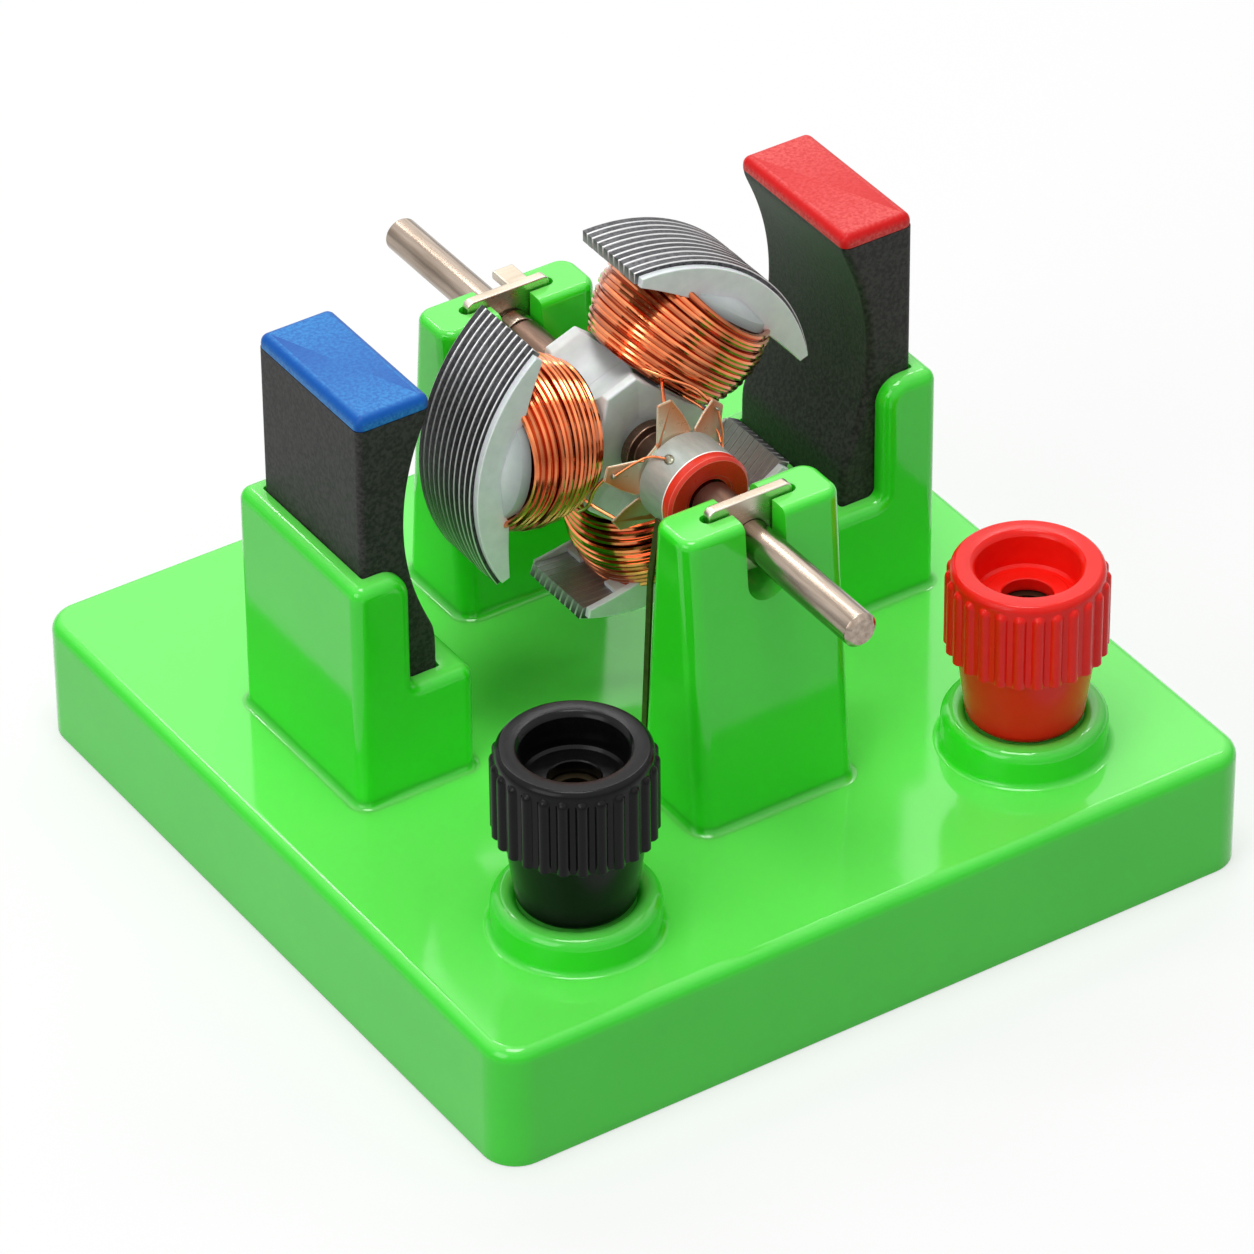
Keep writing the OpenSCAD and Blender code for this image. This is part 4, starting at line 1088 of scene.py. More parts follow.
@dataclass
class Magnets:
    """Two upright magnets with a hollow face about the shaft, each with a coloured cap."""

    edge_r: float = 0.8
    face_r: float = 29.3
    shaft_z: float = 47.0
    blend: float = 0.5
    rows: int = 90
    cap_r: float = 1.0
    cap_foot_r: float = 0.12

    def magnet(self) -> Surface:
        """Right magnet: rounded rectangles from the pocket to the top. The inner side is at the smooth
        maximum of the lip and the circle about the shaft: (a + b + sqrt((a - b)^2 + k^2)) / 2.

        Returns:
            The closed surface.
        """
        box = Span.of("magnet_right")
        z = np.linspace(box.lo[2], box.hi[2], self.rows)
        lip = box.lo[0]
        arc = np.sqrt(np.maximum(self.face_r**2 - (z - self.shaft_z) ** 2, 0))
        inner = (lip + arc + np.sqrt((lip - arc) ** 2 + self.blend**2)) / 2 - self.blend**2 / 8
        inner = np.maximum(inner, lip)
        unit = Outline.block(box.size[0], box.size[1], self.edge_r, 5)
        width = box.hi[0] - inner
        left = unit.points[:, 0] < 0
        x = np.where(left[None], unit.points[None, :, 0] + (box.size[0] - width)[:, None],
                     unit.points[None, :, 0]) + box.mid[0]
        y = np.broadcast_to(unit.points[None, :, 1] + box.mid[1], x.shape)
        tall = np.broadcast_to(z[:, None], x.shape)
        return Surface.of_rings(np.stack([x, y, tall], -1))

    def cap(self) -> Surface:
        """Right cap: a flat block with a round top edge.

        Returns:
            The closed surface.
        """
        box = Span.of("cap_red")
        plan = Outline.block(box.size[0], box.size[1], self.cap_r, 6).moved(*box.mid[:2])
        return slab(plan, box.lo[2], box.hi[2], (self.cap_foot_r, self.cap_r), 6)

    def build(self) -> None:
        """Makes both magnets and caps."""
        magnet, cap = self.magnet(), self.cap()
        Workshop.make("magnet_block_right", magnet, FERRITE, Body.STAND, ["magnet_right"])
        Workshop.make("magnet_block_left", magnet.mirrored_x(), FERRITE, Body.STAND, ["magnet_left"])
        Workshop.make("cap_plate_red", cap, RED_CAP, Body.STAND, ["cap_red"])
        Workshop.make("cap_plate_blue", cap.mirrored_x(), BLUE, Body.STAND, ["cap_blue"])


@dataclass
class Bearings:
    """Two stamped bearing plates; the rear one has a lug bent back over the pillar."""

    bevel: float = 0.6
    edge_r: float = 0.18
    bore_r: float = 2.07
    shaft_z: float = 47.0
    lug_t: float = 1.06
    lug_drop: float = 4.0
    lug_from: float = 0.5
    lug_to: float = 3.1

    def __post_init__(self) -> None:
        """Reads the thickness of the plates, which the front one's box gives."""
        self.thick = Span.of("bearing_plate_front").size[1]

    def plate(self, node: str, extra: Optional[Surface]) -> None:
        """Makes one plate.

        Args:
            node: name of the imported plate.
            extra: a further surface of the same piece.
        """
        box, thick = Span.of(node), self.thick
        x, low, high = box.hi[0], box.lo[2], box.hi[2]
        view = Outline.rounded([(-x, low, 0.3), (x, low, 0.3), (x, high, self.bevel + 0.2),
                                (-x, high, self.bevel + 0.2)], 6)
        body = slab(view, box.lo[1], box.lo[1] + thick, (self.edge_r, self.edge_r), 3).placed(ALONG_Y)
        piece = Workshop.piece(node + "_plate", body)
        bore = slab(Outline.circle(self.bore_r, 96).moved(0, self.shaft_z), box.lo[1] - 1,
                    box.lo[1] + thick + 1, (0.01, 0.01), 1).placed(ALONG_Y)
        Workshop.carve(piece, [bore])
        if extra is not None:
            Workshop.join(piece, extra)
        Workshop.dress(piece, PLATE, Body.STAND, [node])

    def lug(self) -> Surface:
        """Lug: a bent strip in side view, carried across its width.

        Returns:
            The closed surface.
        """
        box = Span.of("bearing_plate_rear")
        y0, y1, z1 = box.lo[1] + 0.1, box.hi[1], box.hi[2] - 0.02
        back, low, under = y0 + self.thick - 0.2, z1 - self.lug_drop, z1 - self.lug_t
        view = Outline.rounded([(y0, low, 0.2), (back, low, 0.2), (back, under, 0.3), (y1, under, 0.3),
                                (y1, z1, 0.3), (y0, z1, 0.9)], 6)
        return slab(view, self.lug_from, self.lug_to, (self.edge_r, self.edge_r), 3).placed(ALONG_X)

    def build(self) -> None:
        """Makes both plates."""
        self.plate("bearing_plate_front", None)
        self.plate("bearing_plate_rear", self.lug())


@dataclass
class Shaft:
    """The rod and the sleeves on it."""

    chamfer: float = 0.5
    sides: int = 96
    sleeve_edge: float = 0.15
    sleeve_bore: float = 2.0
    centre_r: float = 0.4

    def sleeve(self, name: str, node: str, finish: Finish) -> None:
        """Makes one sleeve with softened ends.

        Args:
            name: name of the piece.
            node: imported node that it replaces.
            finish: its finish.
        """
        box = Span.of(node)
        r, e, inner = box.size[0] / 2, self.sleeve_edge, self.sleeve_bore
        ring = revolved(Outline.rounded([(inner, box.lo[1], 0), (r, box.lo[1], e), (r, box.hi[1], e),
                                         (inner, box.hi[1], 0)], 4), self.sides)
        Workshop.make(name, ring.placed(about_shaft(box.mid[2])), finish, Body.ROTOR, [node])

    def build(self) -> None:
        """Makes the rod and its sleeves."""
        box = Span.of("shaft")
        r, y0, y1, c = box.size[0] / 2, box.lo[1], box.hi[1], self.chamfer
        half = np.array([[self.centre_r, 0.02], [r - c, 0], [r - 0.05, c - 0.06], [r, c + 0.05]])
        rod = turned_solid(np.concatenate([half + [0, y0], half[::-1] * [1, -1] + [0, y1]]),
                           self.sides)
        Workshop.make("shaft_rod", rod.placed(about_shaft(box.mid[2])), ROD, Body.ROTOR, ["shaft"])
        self.sleeve("sleeve_front", "spacer_front", TUBING)
        self.sleeve("sleeve_rear", "spacer_rear", TUBING)
        self.sleeve("collar_thrust", "thrust_collar", ROD)


@dataclass
class Rotor:
    """Sizes that the rotor's parts share, drawn about the shaft with a pole along +X."""

    shaft_z: float = 47.0
    turn: float = -10.0
    core_r: float = 21.6
    shoe_half: float = 42.0
    mid_t: float = 3.3
    tip_t: float = 1.4
    tooth_w: float = 5.0
    hub_face_r: float = 6.2
    hub_tip_r: float = 9.0
    arc_points: int = 40

    def __post_init__(self) -> None:
        """Works out the pole angles and the circle of a shoe's inner face."""
        self.poles = [180 + self.turn - 120 * k for k in range(3)]
        self.mid_r = self.core_r - self.mid_t
        self.core = Span.of("core_stack")

    def inner_circle(self, mid_r: float) -> float:
        """Radius of the circle through a shoe's two tips and the point at mid_r on its pole.

        Args:
            mid_r: distance of that point from the shaft.

        Returns:
            The radius.
        """
        half = math.radians(self.shoe_half)
        tip = self.core_r - self.tip_t
        rise = mid_r - tip * math.cos(half)
        return (rise**2 + (tip * math.sin(half)) ** 2) / (2 * rise)

    def at_pole(self, k: int) -> np.ndarray:
        """Matrix that takes a drawing with its pole along +X to pole k, with its depth along Y.

        Args:
            k: number of the pole.

        Returns:
            The 4 x 4 matrix.
        """
        a = math.radians(self.poles[k])
        c, s = math.cos(a), math.sin(a)
        return facing((0, 0, self.shaft_z), (c, 0, s), (-s, 0, c), (0, 1, 0))

    def shoe(self, inset: float, deeper: float = 0.0) -> Outline:
        """Crescent of a pole shoe: the outer circle, a cut along the radius at each tip, the inner circle.

        Args:
            inset: how far it stands back from the core's outline.
            deeper: how much further its middle reaches towards the shaft.

        Returns:
            The outline.
        """
        half = math.radians(self.shoe_half) - inset / self.core_r
        r, steps = self.core_r - inset, self.arc_points
        out = np.linspace(-half, half, steps)
        outer = r * np.stack([np.cos(out), np.sin(out)], 1)
        tip = self.core_r - self.tip_t
        mid_r = self.mid_r - deeper
        in_r = self.inner_circle(mid_r)
        reach = math.asin(tip * math.sin(half) / in_r)
        back = np.linspace(reach, -reach, steps)
        inner = np.stack([mid_r - in_r + in_r * np.cos(back), in_r * np.sin(back)], 1)
        points = np.concatenate([outer, inner])
        normal = np.concatenate([np.stack([np.cos(out), np.sin(out)], 1),
                                 -np.stack([np.cos(back), np.sin(back)], 1)])
        tip_out = np.array([-math.sin(half), math.cos(half)])
        for i, sign in ((0, -1), (steps - 1, 1), (steps, 1), (2 * steps - 1, -1)):
            side = tip_out * np.array([1, sign])
            both = normal[i] + side
            normal[i] = both / (1 + normal[i] @ side)
        return Outline(points, normal, np.zeros(len(points)))


@dataclass
class Core:
    """The stack of steel sheets: ten crescents on each pole, on a three-armed middle."""

    rotor: Rotor
    sheets: int = 10
    gap: float = 0.04
    edge_r: float = 0.16
    inner_share: float = 0.2
    inner_painted_light: float = 0.3

    def build(self) -> None:
        """Makes the crescents of each pole and the middle."""
        r = self.rotor
        y0, y1 = r.core.lo[1], r.core.hi[1]
        pitch = (y1 - y0) / self.sheets
        rng = np.random.default_rng(7)
        parts = []
        for k in range(3):
            for i in range(self.sheets):
                inset = 0.02 + 0.05 * rng.random()
                shoe = r.shoe(inset)
                outer = np.arange(len(shoe.points)) < len(shoe.points) // 2
                share = np.where(outer, 1.0, self.inner_share)
                crescent = Outline(shoe.points, shoe.miters * share[:, None], shoe.soft)
                sheet = slab(crescent, y0 + i * pitch + self.gap / 2, y0 + (i + 1) * pitch - self.gap / 2,
                             (self.edge_r, self.edge_r), 3)
                # Inner faces get a fixed share of the painted edge highlight all over, plus a smaller share
                # of their edge value.
                inner = np.tile(~outer, len(sheet.edge) // len(outer))
                sheet.edge = np.where(inner, self.inner_painted_light + self.inner_share * sheet.edge, sheet.edge)
                parts.append(sheet.toned(rng.random()).placed(r.at_pole(k)))
        Workshop.make("core_sheets", Surface.joined(parts), SHEET, Body.ROTOR, ["core_stack"])
        arms = []
        for k in range(3):
            tooth = Outline.block(r.mid_r, r.tooth_w, 0.2, 2).moved(r.mid_r / 2 + 0.3, 0)
            arms.append(slab(tooth, y0 + 0.1, y1 - 0.1, (0.05, 0.05), 1).placed(r.at_pole(k)))
        Workshop.make("core_arms", Surface.joined(arms), SHEET, Body.ROTOR)


@dataclass
class Insulators:
    """Pale end plates: a half moon on each shoe, a stop and a flange for each winding and a faceted hub."""

    rotor: Rotor
    plate_t: float = 0.8
    inset: float = 0.55
    deeper: float = 1.7
    rear_t: float = 0.45
    edge_r: float = 0.14
    stop_r: float = 8.2
    stop_s: float = 16.1
    stop_t: float = 0.9
    stop_run: float = 1.7
    flange_t: float = 0.5
    flange_len: float = 2.6
    flange_short: float = 16.0
    waist_r: float = 6.4
    dish: float = 0.9
    across: int = 30

    def hub_outline(self, tip_r: float) -> Outline:
        """Hexagon with three long faces square to the poles and three short ones between them.

        Args:
            tip_r: distance of the short faces from the shaft.

        Returns:
            The outline, whose count of points is the same for every distance.
        """
        corners = []
        for k in range(3):
            angles = [math.radians(120 * k + turn) for turn in (0, 60, 120)]
            before, across, after = (np.array([math.cos(a), math.sin(a)]) for a in angles)
            first = np.linalg.solve(np.array([before, across]), np.array([self.rotor.hub_face_r, tip_r]))
            second = np.linalg.solve(np.array([across, after]), np.array([tip_r, self.rotor.hub_face_r]))
            corners += [(*first, 0.3), (*second, 0.3)]
        return Outline.rounded(corners, 4)

    def hub(self) -> Surface:
        """Front half of the hub. Its short faces narrow from the end plate to the waist as a quarter of an
        ellipse, and its front face is dished: each ring nearer the shaft lies deeper by a cosine.

        Returns:
            The closed surface.
        """
        r = self.rotor
        face, waist = Span.of("insulator_front").lo[1], r.core.mid[1] - 0.02
        plate_back = r.core.lo[1]
        off, up, soft = rounding(0.25, 3)
        rings, edges = [], []
        for share in np.linspace(0.3, 0.94, 8):
            depth = self.dish * (1 + math.cos(math.pi * share)) / 1.6
            rings.append((self.hub_outline(r.hub_tip_r).points * share, face + depth))
            edges.append(0.0)
        full = self.hub_outline(r.hub_tip_r)
        for o, u, e in zip(off, up, soft):
            rings.append((full.points + o * full.miters, face + u))
            edges.append(e)
        for share in np.linspace(0, 1, 12):
            tip = self.waist_r + (r.hub_tip_r - self.waist_r) * (1 - math.sin(share * math.pi / 2))
            rings.append((self.hub_outline(tip).points, plate_back + (waist - plate_back) * share))
            edges.append(0.0)
        stack = np.stack([np.column_stack([p, np.full(len(p), y)]) for p, y in rings])
        edge = np.repeat(np.array(edges)[:, None], stack.shape[1], 1)
        return Surface.of_rings(stack, edge).placed(r.at_pole(0))

    def end(self, thick: float) -> Surface:
        """Front end: half moons, necks on the teeth, stops, flanges and half the hub.

        Args:
            thick: thickness of the half moons and necks.

        Returns:
            The closed surfaces in one.
        """
        r = self.rotor
        front = r.core.lo[1]
        parts = [self.hub()]
        neck_from, neck_to = r.hub_face_r - 0.4, r.mid_r - self.deeper + 0.3
        for k in range(3):
            moon = slab(r.shoe(self.inset, self.deeper), front - thick, front - 0.02, (self.edge_r, 0.02), 4)
            bar = Outline.block(neck_to - neck_from, r.tooth_w, 0.3, 3).moved((neck_from + neck_to) / 2, 0)
            neck = slab(bar, front - thick + 0.02, front - 0.03, (0.05, 0.02), 2)
            parts += [moon.placed(r.at_pole(k)), neck.placed(r.at_pole(k)), self.stop(k), self.flange(k)]
        return Surface.joined(parts)

    def stop(self, k: int) -> Surface:
        """Stop at the outer end of winding k: a part of a disc about the pole that stands before the plate.

        Its outer face runs out into the shoe's plate: the radius falls from stop_r as one minus the sine
        of the way along the pole, which gives a hollow curve. Its tone value is painted shade: 1 next to the
        winding, falling to 0 where the face meets the plate.

        Args:
            k: number of the pole.

        Returns:
            The closed surface.
        """
        r = self.rotor
        front, mid_y = r.core.lo[1] - 0.3, r.core.mid[1]
        low = mid_y - front + 0.35
        u = np.linspace(0, 1, 12)
        hollow = low + (self.stop_r - low) * (1 - np.sin(u * math.pi / 2))
        radius = np.concatenate([[self.stop_r - 0.15, self.stop_r], hollow[1:]])
        s = self.stop_s + np.concatenate([[0, 0.15], self.stop_t + self.stop_run * u[1:]])
        angle = np.arccos((mid_y - front) / radius)[:, None] * np.linspace(-1, 1, self.across)
        arcs = np.stack([radius[:, None] * np.sin(angle), mid_y - radius[:, None] * np.cos(angle)], -1)
        stop = Surface.of_rings(raised(arcs, s)).placed(r.at_pole(k) @ ALONG_X)
        # Painted shade: darker next to the winding, fading out towards the half moon.
        shade = np.clip(1 - (s - self.stop_s) / (self.stop_t + self.stop_run), 0, 1)
        stop.tone = np.repeat(shade, self.across)
        return stop

    def flange(self, k: int) -> Surface:
        """Thin curved flange under a shoe: a band along the shoe's inner circle.

        Args:
            k: number of the pole.

        Returns:
            The closed surface.
        """
        r = self.rotor
        front = r.core.lo[1]
        half, in_r = math.radians(r.shoe_half - self.flange_short), r.inner_circle(r.mid_r)
        reach = math.asin(r.core_r * math.sin(half) / in_r)
        a = np.linspace(-reach, reach, self.across)
        ray = np.stack([np.cos(a), np.sin(a)], 1)
        centre = np.array([r.mid_r - in_r, 0])
        outer, inner = centre + (in_r + 0.05) * ray, centre + (in_r - self.flange_t) * ray[::-1]
        miters = np.concatenate([ray, -ray[::-1]])
        band = Outline(np.concatenate([outer, inner]), miters, np.zeros(2 * len(a)))
        flange = slab(band, front - self.rear_t + 0.03, front + self.flange_len, (0.1, 0.1), 2)
        return flange.placed(r.at_pole(k))

    def build(self) -> None:
        """Makes the front and rear insulators."""
        front, rear = self.end(self.plate_t), self.end(self.rear_t)
        mirror = shift(0, 2 * self.rotor.core.mid[1], 0) @ np.diag([1.0, -1.0, 1.0, 1.0])
        Workshop.make("insulator_plate_front", front, BOARD, Body.ROTOR, ["insulator_front"])
        Workshop.make("insulator_plate_rear", rear.placed(mirror), BOARD, Body.ROTOR, ["insulator_rear"])


@dataclass
class Windings:
    """Three coils of enamelled wire, each a loose outer layer over two closer ones.

    Each layer is given by its depth in wires, its first angle in turns, its seed and its looseness. The
    periods are those of the wavering, in waves a turn.
    """

    rotor: Rotor
    wire_d: float = 0.72
    turns: int = 14
    start_s: float = 6.4
    end_s: float = 16.35
    full_r: float = 9.7
    full_s: float = 12.5
    narrow_s: float = 6.6
    drop: float = 2.0
    fan: float = 1.6
    rings: int = 80
    sides: int = 8
    layers: tuple[tuple[float, float, int, float], ...] = (
        (0.0, 0.125, 11, 0.16), (0.5, 0.6, 31, 0.1), (1.1, 0.3, 51, 0.05))
    periods: tuple[float, ...] = (0.27, 0.63, 1.17, 1.83, 2.31, 3.19)

    def barrel(self, s: np.ndarray) -> np.ndarray:
        """Outer radius at s from the shaft: full_r - drop ((s - full_s) / (full_s - narrow_s))^2."""
        return self.full_r - self.drop * ((s - self.full_s) / (self.full_s - self.narrow_s)) ** 2

    def layer(self, k: int, depth: float, start: float, seed: int, loose: float) -> Surface:
        """One layer of turns on coil k: a helix on the barrel whose pitch and height waver.

        The wavering is a sum of sines of the turn count with steady but unrelated periods. In front and
        behind, the turns spread towards the shoe by fan (t / turns)^1.5 cos^2 of their angle.

        Args:
            k: number of the pole.
            depth: how far the layer lies under the outer one.
            start: angle of its first point, in turns.
            seed: seed of the phases.
            loose: size of the wavering along the pole.

        Returns:
            The closed tube.
        """
        rng = np.random.default_rng(seed)
        t = np.linspace(0, self.turns, self.turns * self.rings + 1)
        phase = rng.random(len(self.periods)) * TURN
        waver = sum(np.sin(TURN * f * t + p) / (i + 1.5)
                    for i, (f, p) in enumerate(zip(self.periods, phase)))
        ease = np.clip(np.minimum(t, self.turns - t) / 1.5, 0, 1)
        span = self.end_s - self.start_s - self.wire_d
        angle = TURN * (t + start)
        s = self.start_s + self.wire_d / 2 + span * t / self.turns + loose * waver * ease
        lift = 0.06 * np.sin(TURN * 0.41 * t + phase[0]) + 0.04 * np.sin(TURN * 1.53 * t + phase[1])
        r = self.barrel(s) - self.wire_d / 2 - depth - 0.1 + lift
        s = s + self.fan * (t / self.turns) ** 1.5 * np.cos(angle) ** 2
        out = np.stack([0 * t, np.cos(angle), np.sin(angle)], 1)
        centre = np.stack([s, r * out[:, 1], r * out[:, 2]], 1)
        wire = tube(centre, self.wire_d / 2, self.sides, out)
        # Tone: a slow wavering along the wire, plus a fixed rise on the under layers as painted shade
        # between the turns.
        tone = np.repeat(0.5 + 0.5 * np.sin(TURN * 0.37 * t + phase[2]), self.sides)
        wire.tone = np.clip(tone * 0.5 + (0.7 if depth > 0 else 0), 0, 1)
        return wire.placed(self.rotor.at_pole(k) @ shift(0, 0, self.rotor.core.mid[1]))

    def build(self) -> None:
        """Makes the three coils."""
        for k, letter in enumerate("abc"):
            coil = [self.layer(k, depth * self.wire_d, start, seed + k, loose)
                    for depth, start, seed, loose in self.layers]
            Workshop.make(f"coil_{letter}", Surface.joined(coil), COPPER, Body.ROTOR,
                          [f"winding_{letter}", f"winding_core_{letter}"], weighted=False)


@dataclass
class Commutator:
    """Drum of three segments with a red ring, riser tabs and the coils' ends."""

    rotor: Rotor
    drum_r: float = 5.1
    bore_r: float = 2.0
    sides: int = 96
    tab_t: float = 0.3
    tab_lag: float = 40.0
    tab_spread: float = 35.0
    tab_foot_r: float = 4.2
    tab_root_r: float = 5.3
    tab_tip_r: float = 8.55
    tab_lean: float = 25.0
    lead_in: float = 0.7
    lead_r: float = 0.2
    fine_r: float = 0.14
    body_r: float = 3.98
    sleeve_r: float = 2.35
    flange_t: float = 1.2
    ring_bore: float = 2.45
    blob_lag: float = 47.0
    blob_y: float = 2.3
    blob_r: float = 0.5

    def ring(self, corners: Sequence[tuple[float, float, float]]) -> Surface:
        """Ring about the shaft from (radius, place along Y, rounding) corners."""
        return revolved(Outline.rounded(corners, 4), self.sides).placed(about_shaft(self.rotor.shaft_z))

    def tabs(self) -> Surface:
        """Riser tabs: a plate with two blunt tips behind each segment, leaning back towards its tips.

        The lean is tan(tab_lean) (r - root) outside the root, with r the distance from the shaft.

        Returns:
            The closed surfaces in one.
        """
        parts = []
        tip, root, spread = self.tab_tip_r, self.tab_root_r, self.tab_spread
        wide, inner, foot = 0.8 * tip, root + 0.1, self.tab_foot_r
        places = [(root, -58, 0.2), (wide, -spread - 14, 0.6), (tip, -spread - 6, 0.3),
                  (tip, -spread + 6, 0.3), (inner, -10, 0.8), (inner, 10, 0.8), (tip, spread - 6, 0.3),
                  (tip, spread + 6, 0.3), (wide, spread + 14, 0.6), (root, 58, 0.2),
                  (foot, 50, 0.3), (foot, 0, 0.3), (foot, -50, 0.3)]
        turned = [(r, math.radians(a), soft) for r, a, soft in places]
        outline = Outline.rounded([(r * math.cos(a), r * math.sin(a), soft) for r, a, soft in turned], 4)
        y0 = Span.of("riser_tabs").lo[1]
        for pole in self.rotor.poles:
            plate = slab(outline.turned(pole - self.tab_lag), y0, y0 + self.tab_t, (0.1, 0.1), 3)
            plate.points[:, 2] += self.lean(np.hypot(plate.points[:, 0], plate.points[:, 1]))
            parts.append(plate.placed(about_shaft(self.rotor.shaft_z)))
        return Surface.joined(parts)

    def lean(self, radius: np.ndarray) -> np.ndarray:
        """How far a tab lies back at a distance from the shaft."""
        return math.tan(math.radians(self.tab_lean)) * np.maximum(radius - self.tab_root_r, 0)

    def at(self, radius: float, angle: float, y: float) -> tuple[float, float, float]:
        """Place of a point near the shaft.

        Args:
            radius: its distance from the shaft's axis.
            angle: its angle from +X towards +Z, in degrees.
            y: its place along Y.

        Returns:
            Its x, y and z.
        """
        a = math.radians(angle)
        return radius * math.cos(a), y, self.rotor.shaft_z + radius * math.sin(a)

    def leads(self) -> Surface:
        """Coil ends: from each winding along a tangent to the near tab, from the winding before it across
        the hub to the far tab, a fine one from the winding's foot to the tab's root, and a fine one from
        the near tab's tip over the drum's rear edge to its blob of solder.

        Returns:
            The closed tubes in one.
        """
        tabs, hub = Span.of("riser_tabs").lo[1], Span.of("insulator_front").lo[1]
        tip_r = self.tab_tip_r - self.lead_in
        back = tabs + float(self.lean(np.array(tip_r))) + self.tab_t + self.lead_r
        parts = []
        for pole in self.rotor.poles:
            near, far = pole - self.tab_lag + self.tab_spread, pole - self.tab_lag - self.tab_spread
            ways = [
                (self.lead_r, [self.at(9.9, pole + 42, hub + 0.2), self.at(9.2, pole + 30, hub - 1.9),
                               self.at(8.6, pole + 12, hub - 3.2), self.at(tip_r, near, back)]),
                (self.lead_r, [self.at(9.4, far - 22, hub + 0.4), self.at(8.8, far - 12, hub - 1.4),
                               self.at(tip_r, far, back)]),
                (self.fine_r, [self.at(7.2, pole + 14, hub - 2.2), self.at(6.9, pole - 2, hub - 4.0),
                               self.at(6.1, pole - 20, tabs + 0.7), self.at(5.6, pole - 28, tabs - 0.05)]),
                (self.fine_r, [self.at(tip_r, near, back - self.tab_t - 2 * self.lead_r),
                               self.at(6.5, near - 15, tabs + 0.3), self.at(5.5, near - 30, tabs - 0.3),
                               self.at(self.drum_r + 0.1, pole - self.blob_lag, tabs - self.blob_y)])]
            for radius, way in ways:
                parts.append(tube(flowing(way, 12), radius, 10, np.array([0.31, 0.2, 0.93])))
        return Surface.joined(parts)

    def blobs(self) -> Surface:
        """Solder: a flat ball on the drum for each segment and a small one at each near tab's tip.

        Returns:
            The closed surfaces in one.
        """
        tabs, tip_r = Span.of("riser_tabs").lo[1], self.tab_tip_r - self.lead_in
        t = np.linspace(0.05, math.pi - 0.05, 12)
        ball = turned_solid(np.stack([np.sin(t), -np.cos(t)], 1), 24)
        parts = []
        for pole in self.rotor.poles:
            spots = [(self.drum_r, pole - self.blob_lag, tabs - self.blob_y, self.blob_r),
                     (tip_r, pole - self.tab_lag + self.tab_spread, tabs + float(self.lean(np.array(tip_r))),
                      0.6 * self.blob_r)]
            for r, angle, y, size in spots:
                a = math.radians(angle)
                out = np.array([math.cos(a), 0, math.sin(a)])
                side = np.array([-math.sin(a), 0, math.cos(a)])
                matrix = facing(self.at(r, angle, y), 1.1 * size * side, 1.5 * size * np.array([0, 1, 0]),
                                0.6 * size * out)
                parts.append(ball.placed(matrix))
        return Surface.joined(parts)

    def build(self) -> None:
        """Makes the drum, the ring, the tabs and the sleeve behind them."""
        drum, ring = Span.of("commutator_segments"), Span.of("commutator_ring")
        hub, sleeve = Span.of("spacer_hub"), Span.of("commutator_body")
        e, r = 0.15, self.drum_r
        Workshop.make("commutator_drum", self.ring([
            (self.bore_r + 2, drum.lo[1], 0), (r, drum.lo[1], e), (r, drum.hi[1], e),
            (self.bore_r + 2, drum.hi[1], 0)]), TINNED, Body.ROTOR, ["commutator_segments"])
        Workshop.make("commutator_core", self.ring([
            (self.bore_r, sleeve.lo[1], 0), (self.body_r, sleeve.lo[1], 0),
            (self.body_r, sleeve.hi[1] + 0.01, 0.1),
            (self.bore_r, sleeve.hi[1] + 0.01, 0)]), TUBING, Body.ROTOR, ["commutator_body"])
        Workshop.make("ring_red", self.ring([
            (self.ring_bore, ring.lo[1] + 0.2, 0.1), (2.9, ring.lo[1] + 0.2, 0.1),
            (3.0, ring.lo[1] + 0.05, 0.05),
            (r - 0.35, ring.lo[1], 0.12), (r, ring.lo[1] + 0.35, 0.12), (r, ring.hi[1], 0.06),
            (self.ring_bore, ring.hi[1], 0)]), FIBRE, Body.ROTOR, ["commutator_ring"])
        Workshop.make("tabs_riser", self.tabs(), TABS, Body.ROTOR, ["riser_tabs"])
        flange, step = hub.size[0] / 2, hub.hi[1] - self.flange_t
        Workshop.make("sleeve_hub", self.ring([
            (self.bore_r, hub.lo[1], 0), (self.sleeve_r, hub.lo[1], 0.1), (self.sleeve_r, step, 0.15),
            (flange, step, 0.2), (flange, hub.hi[1], 0.1), (self.bore_r, hub.hi[1], 0)]),
            TUBING, Body.ROTOR, ["spacer_hub"])
        Workshop.make("coil_leads", self.leads(), COPPER, Body.ROTOR, ["winding_leads"], weighted=False)
        Workshop.make("solder_blobs", self.blobs(), SOLDER, Body.ROTOR)


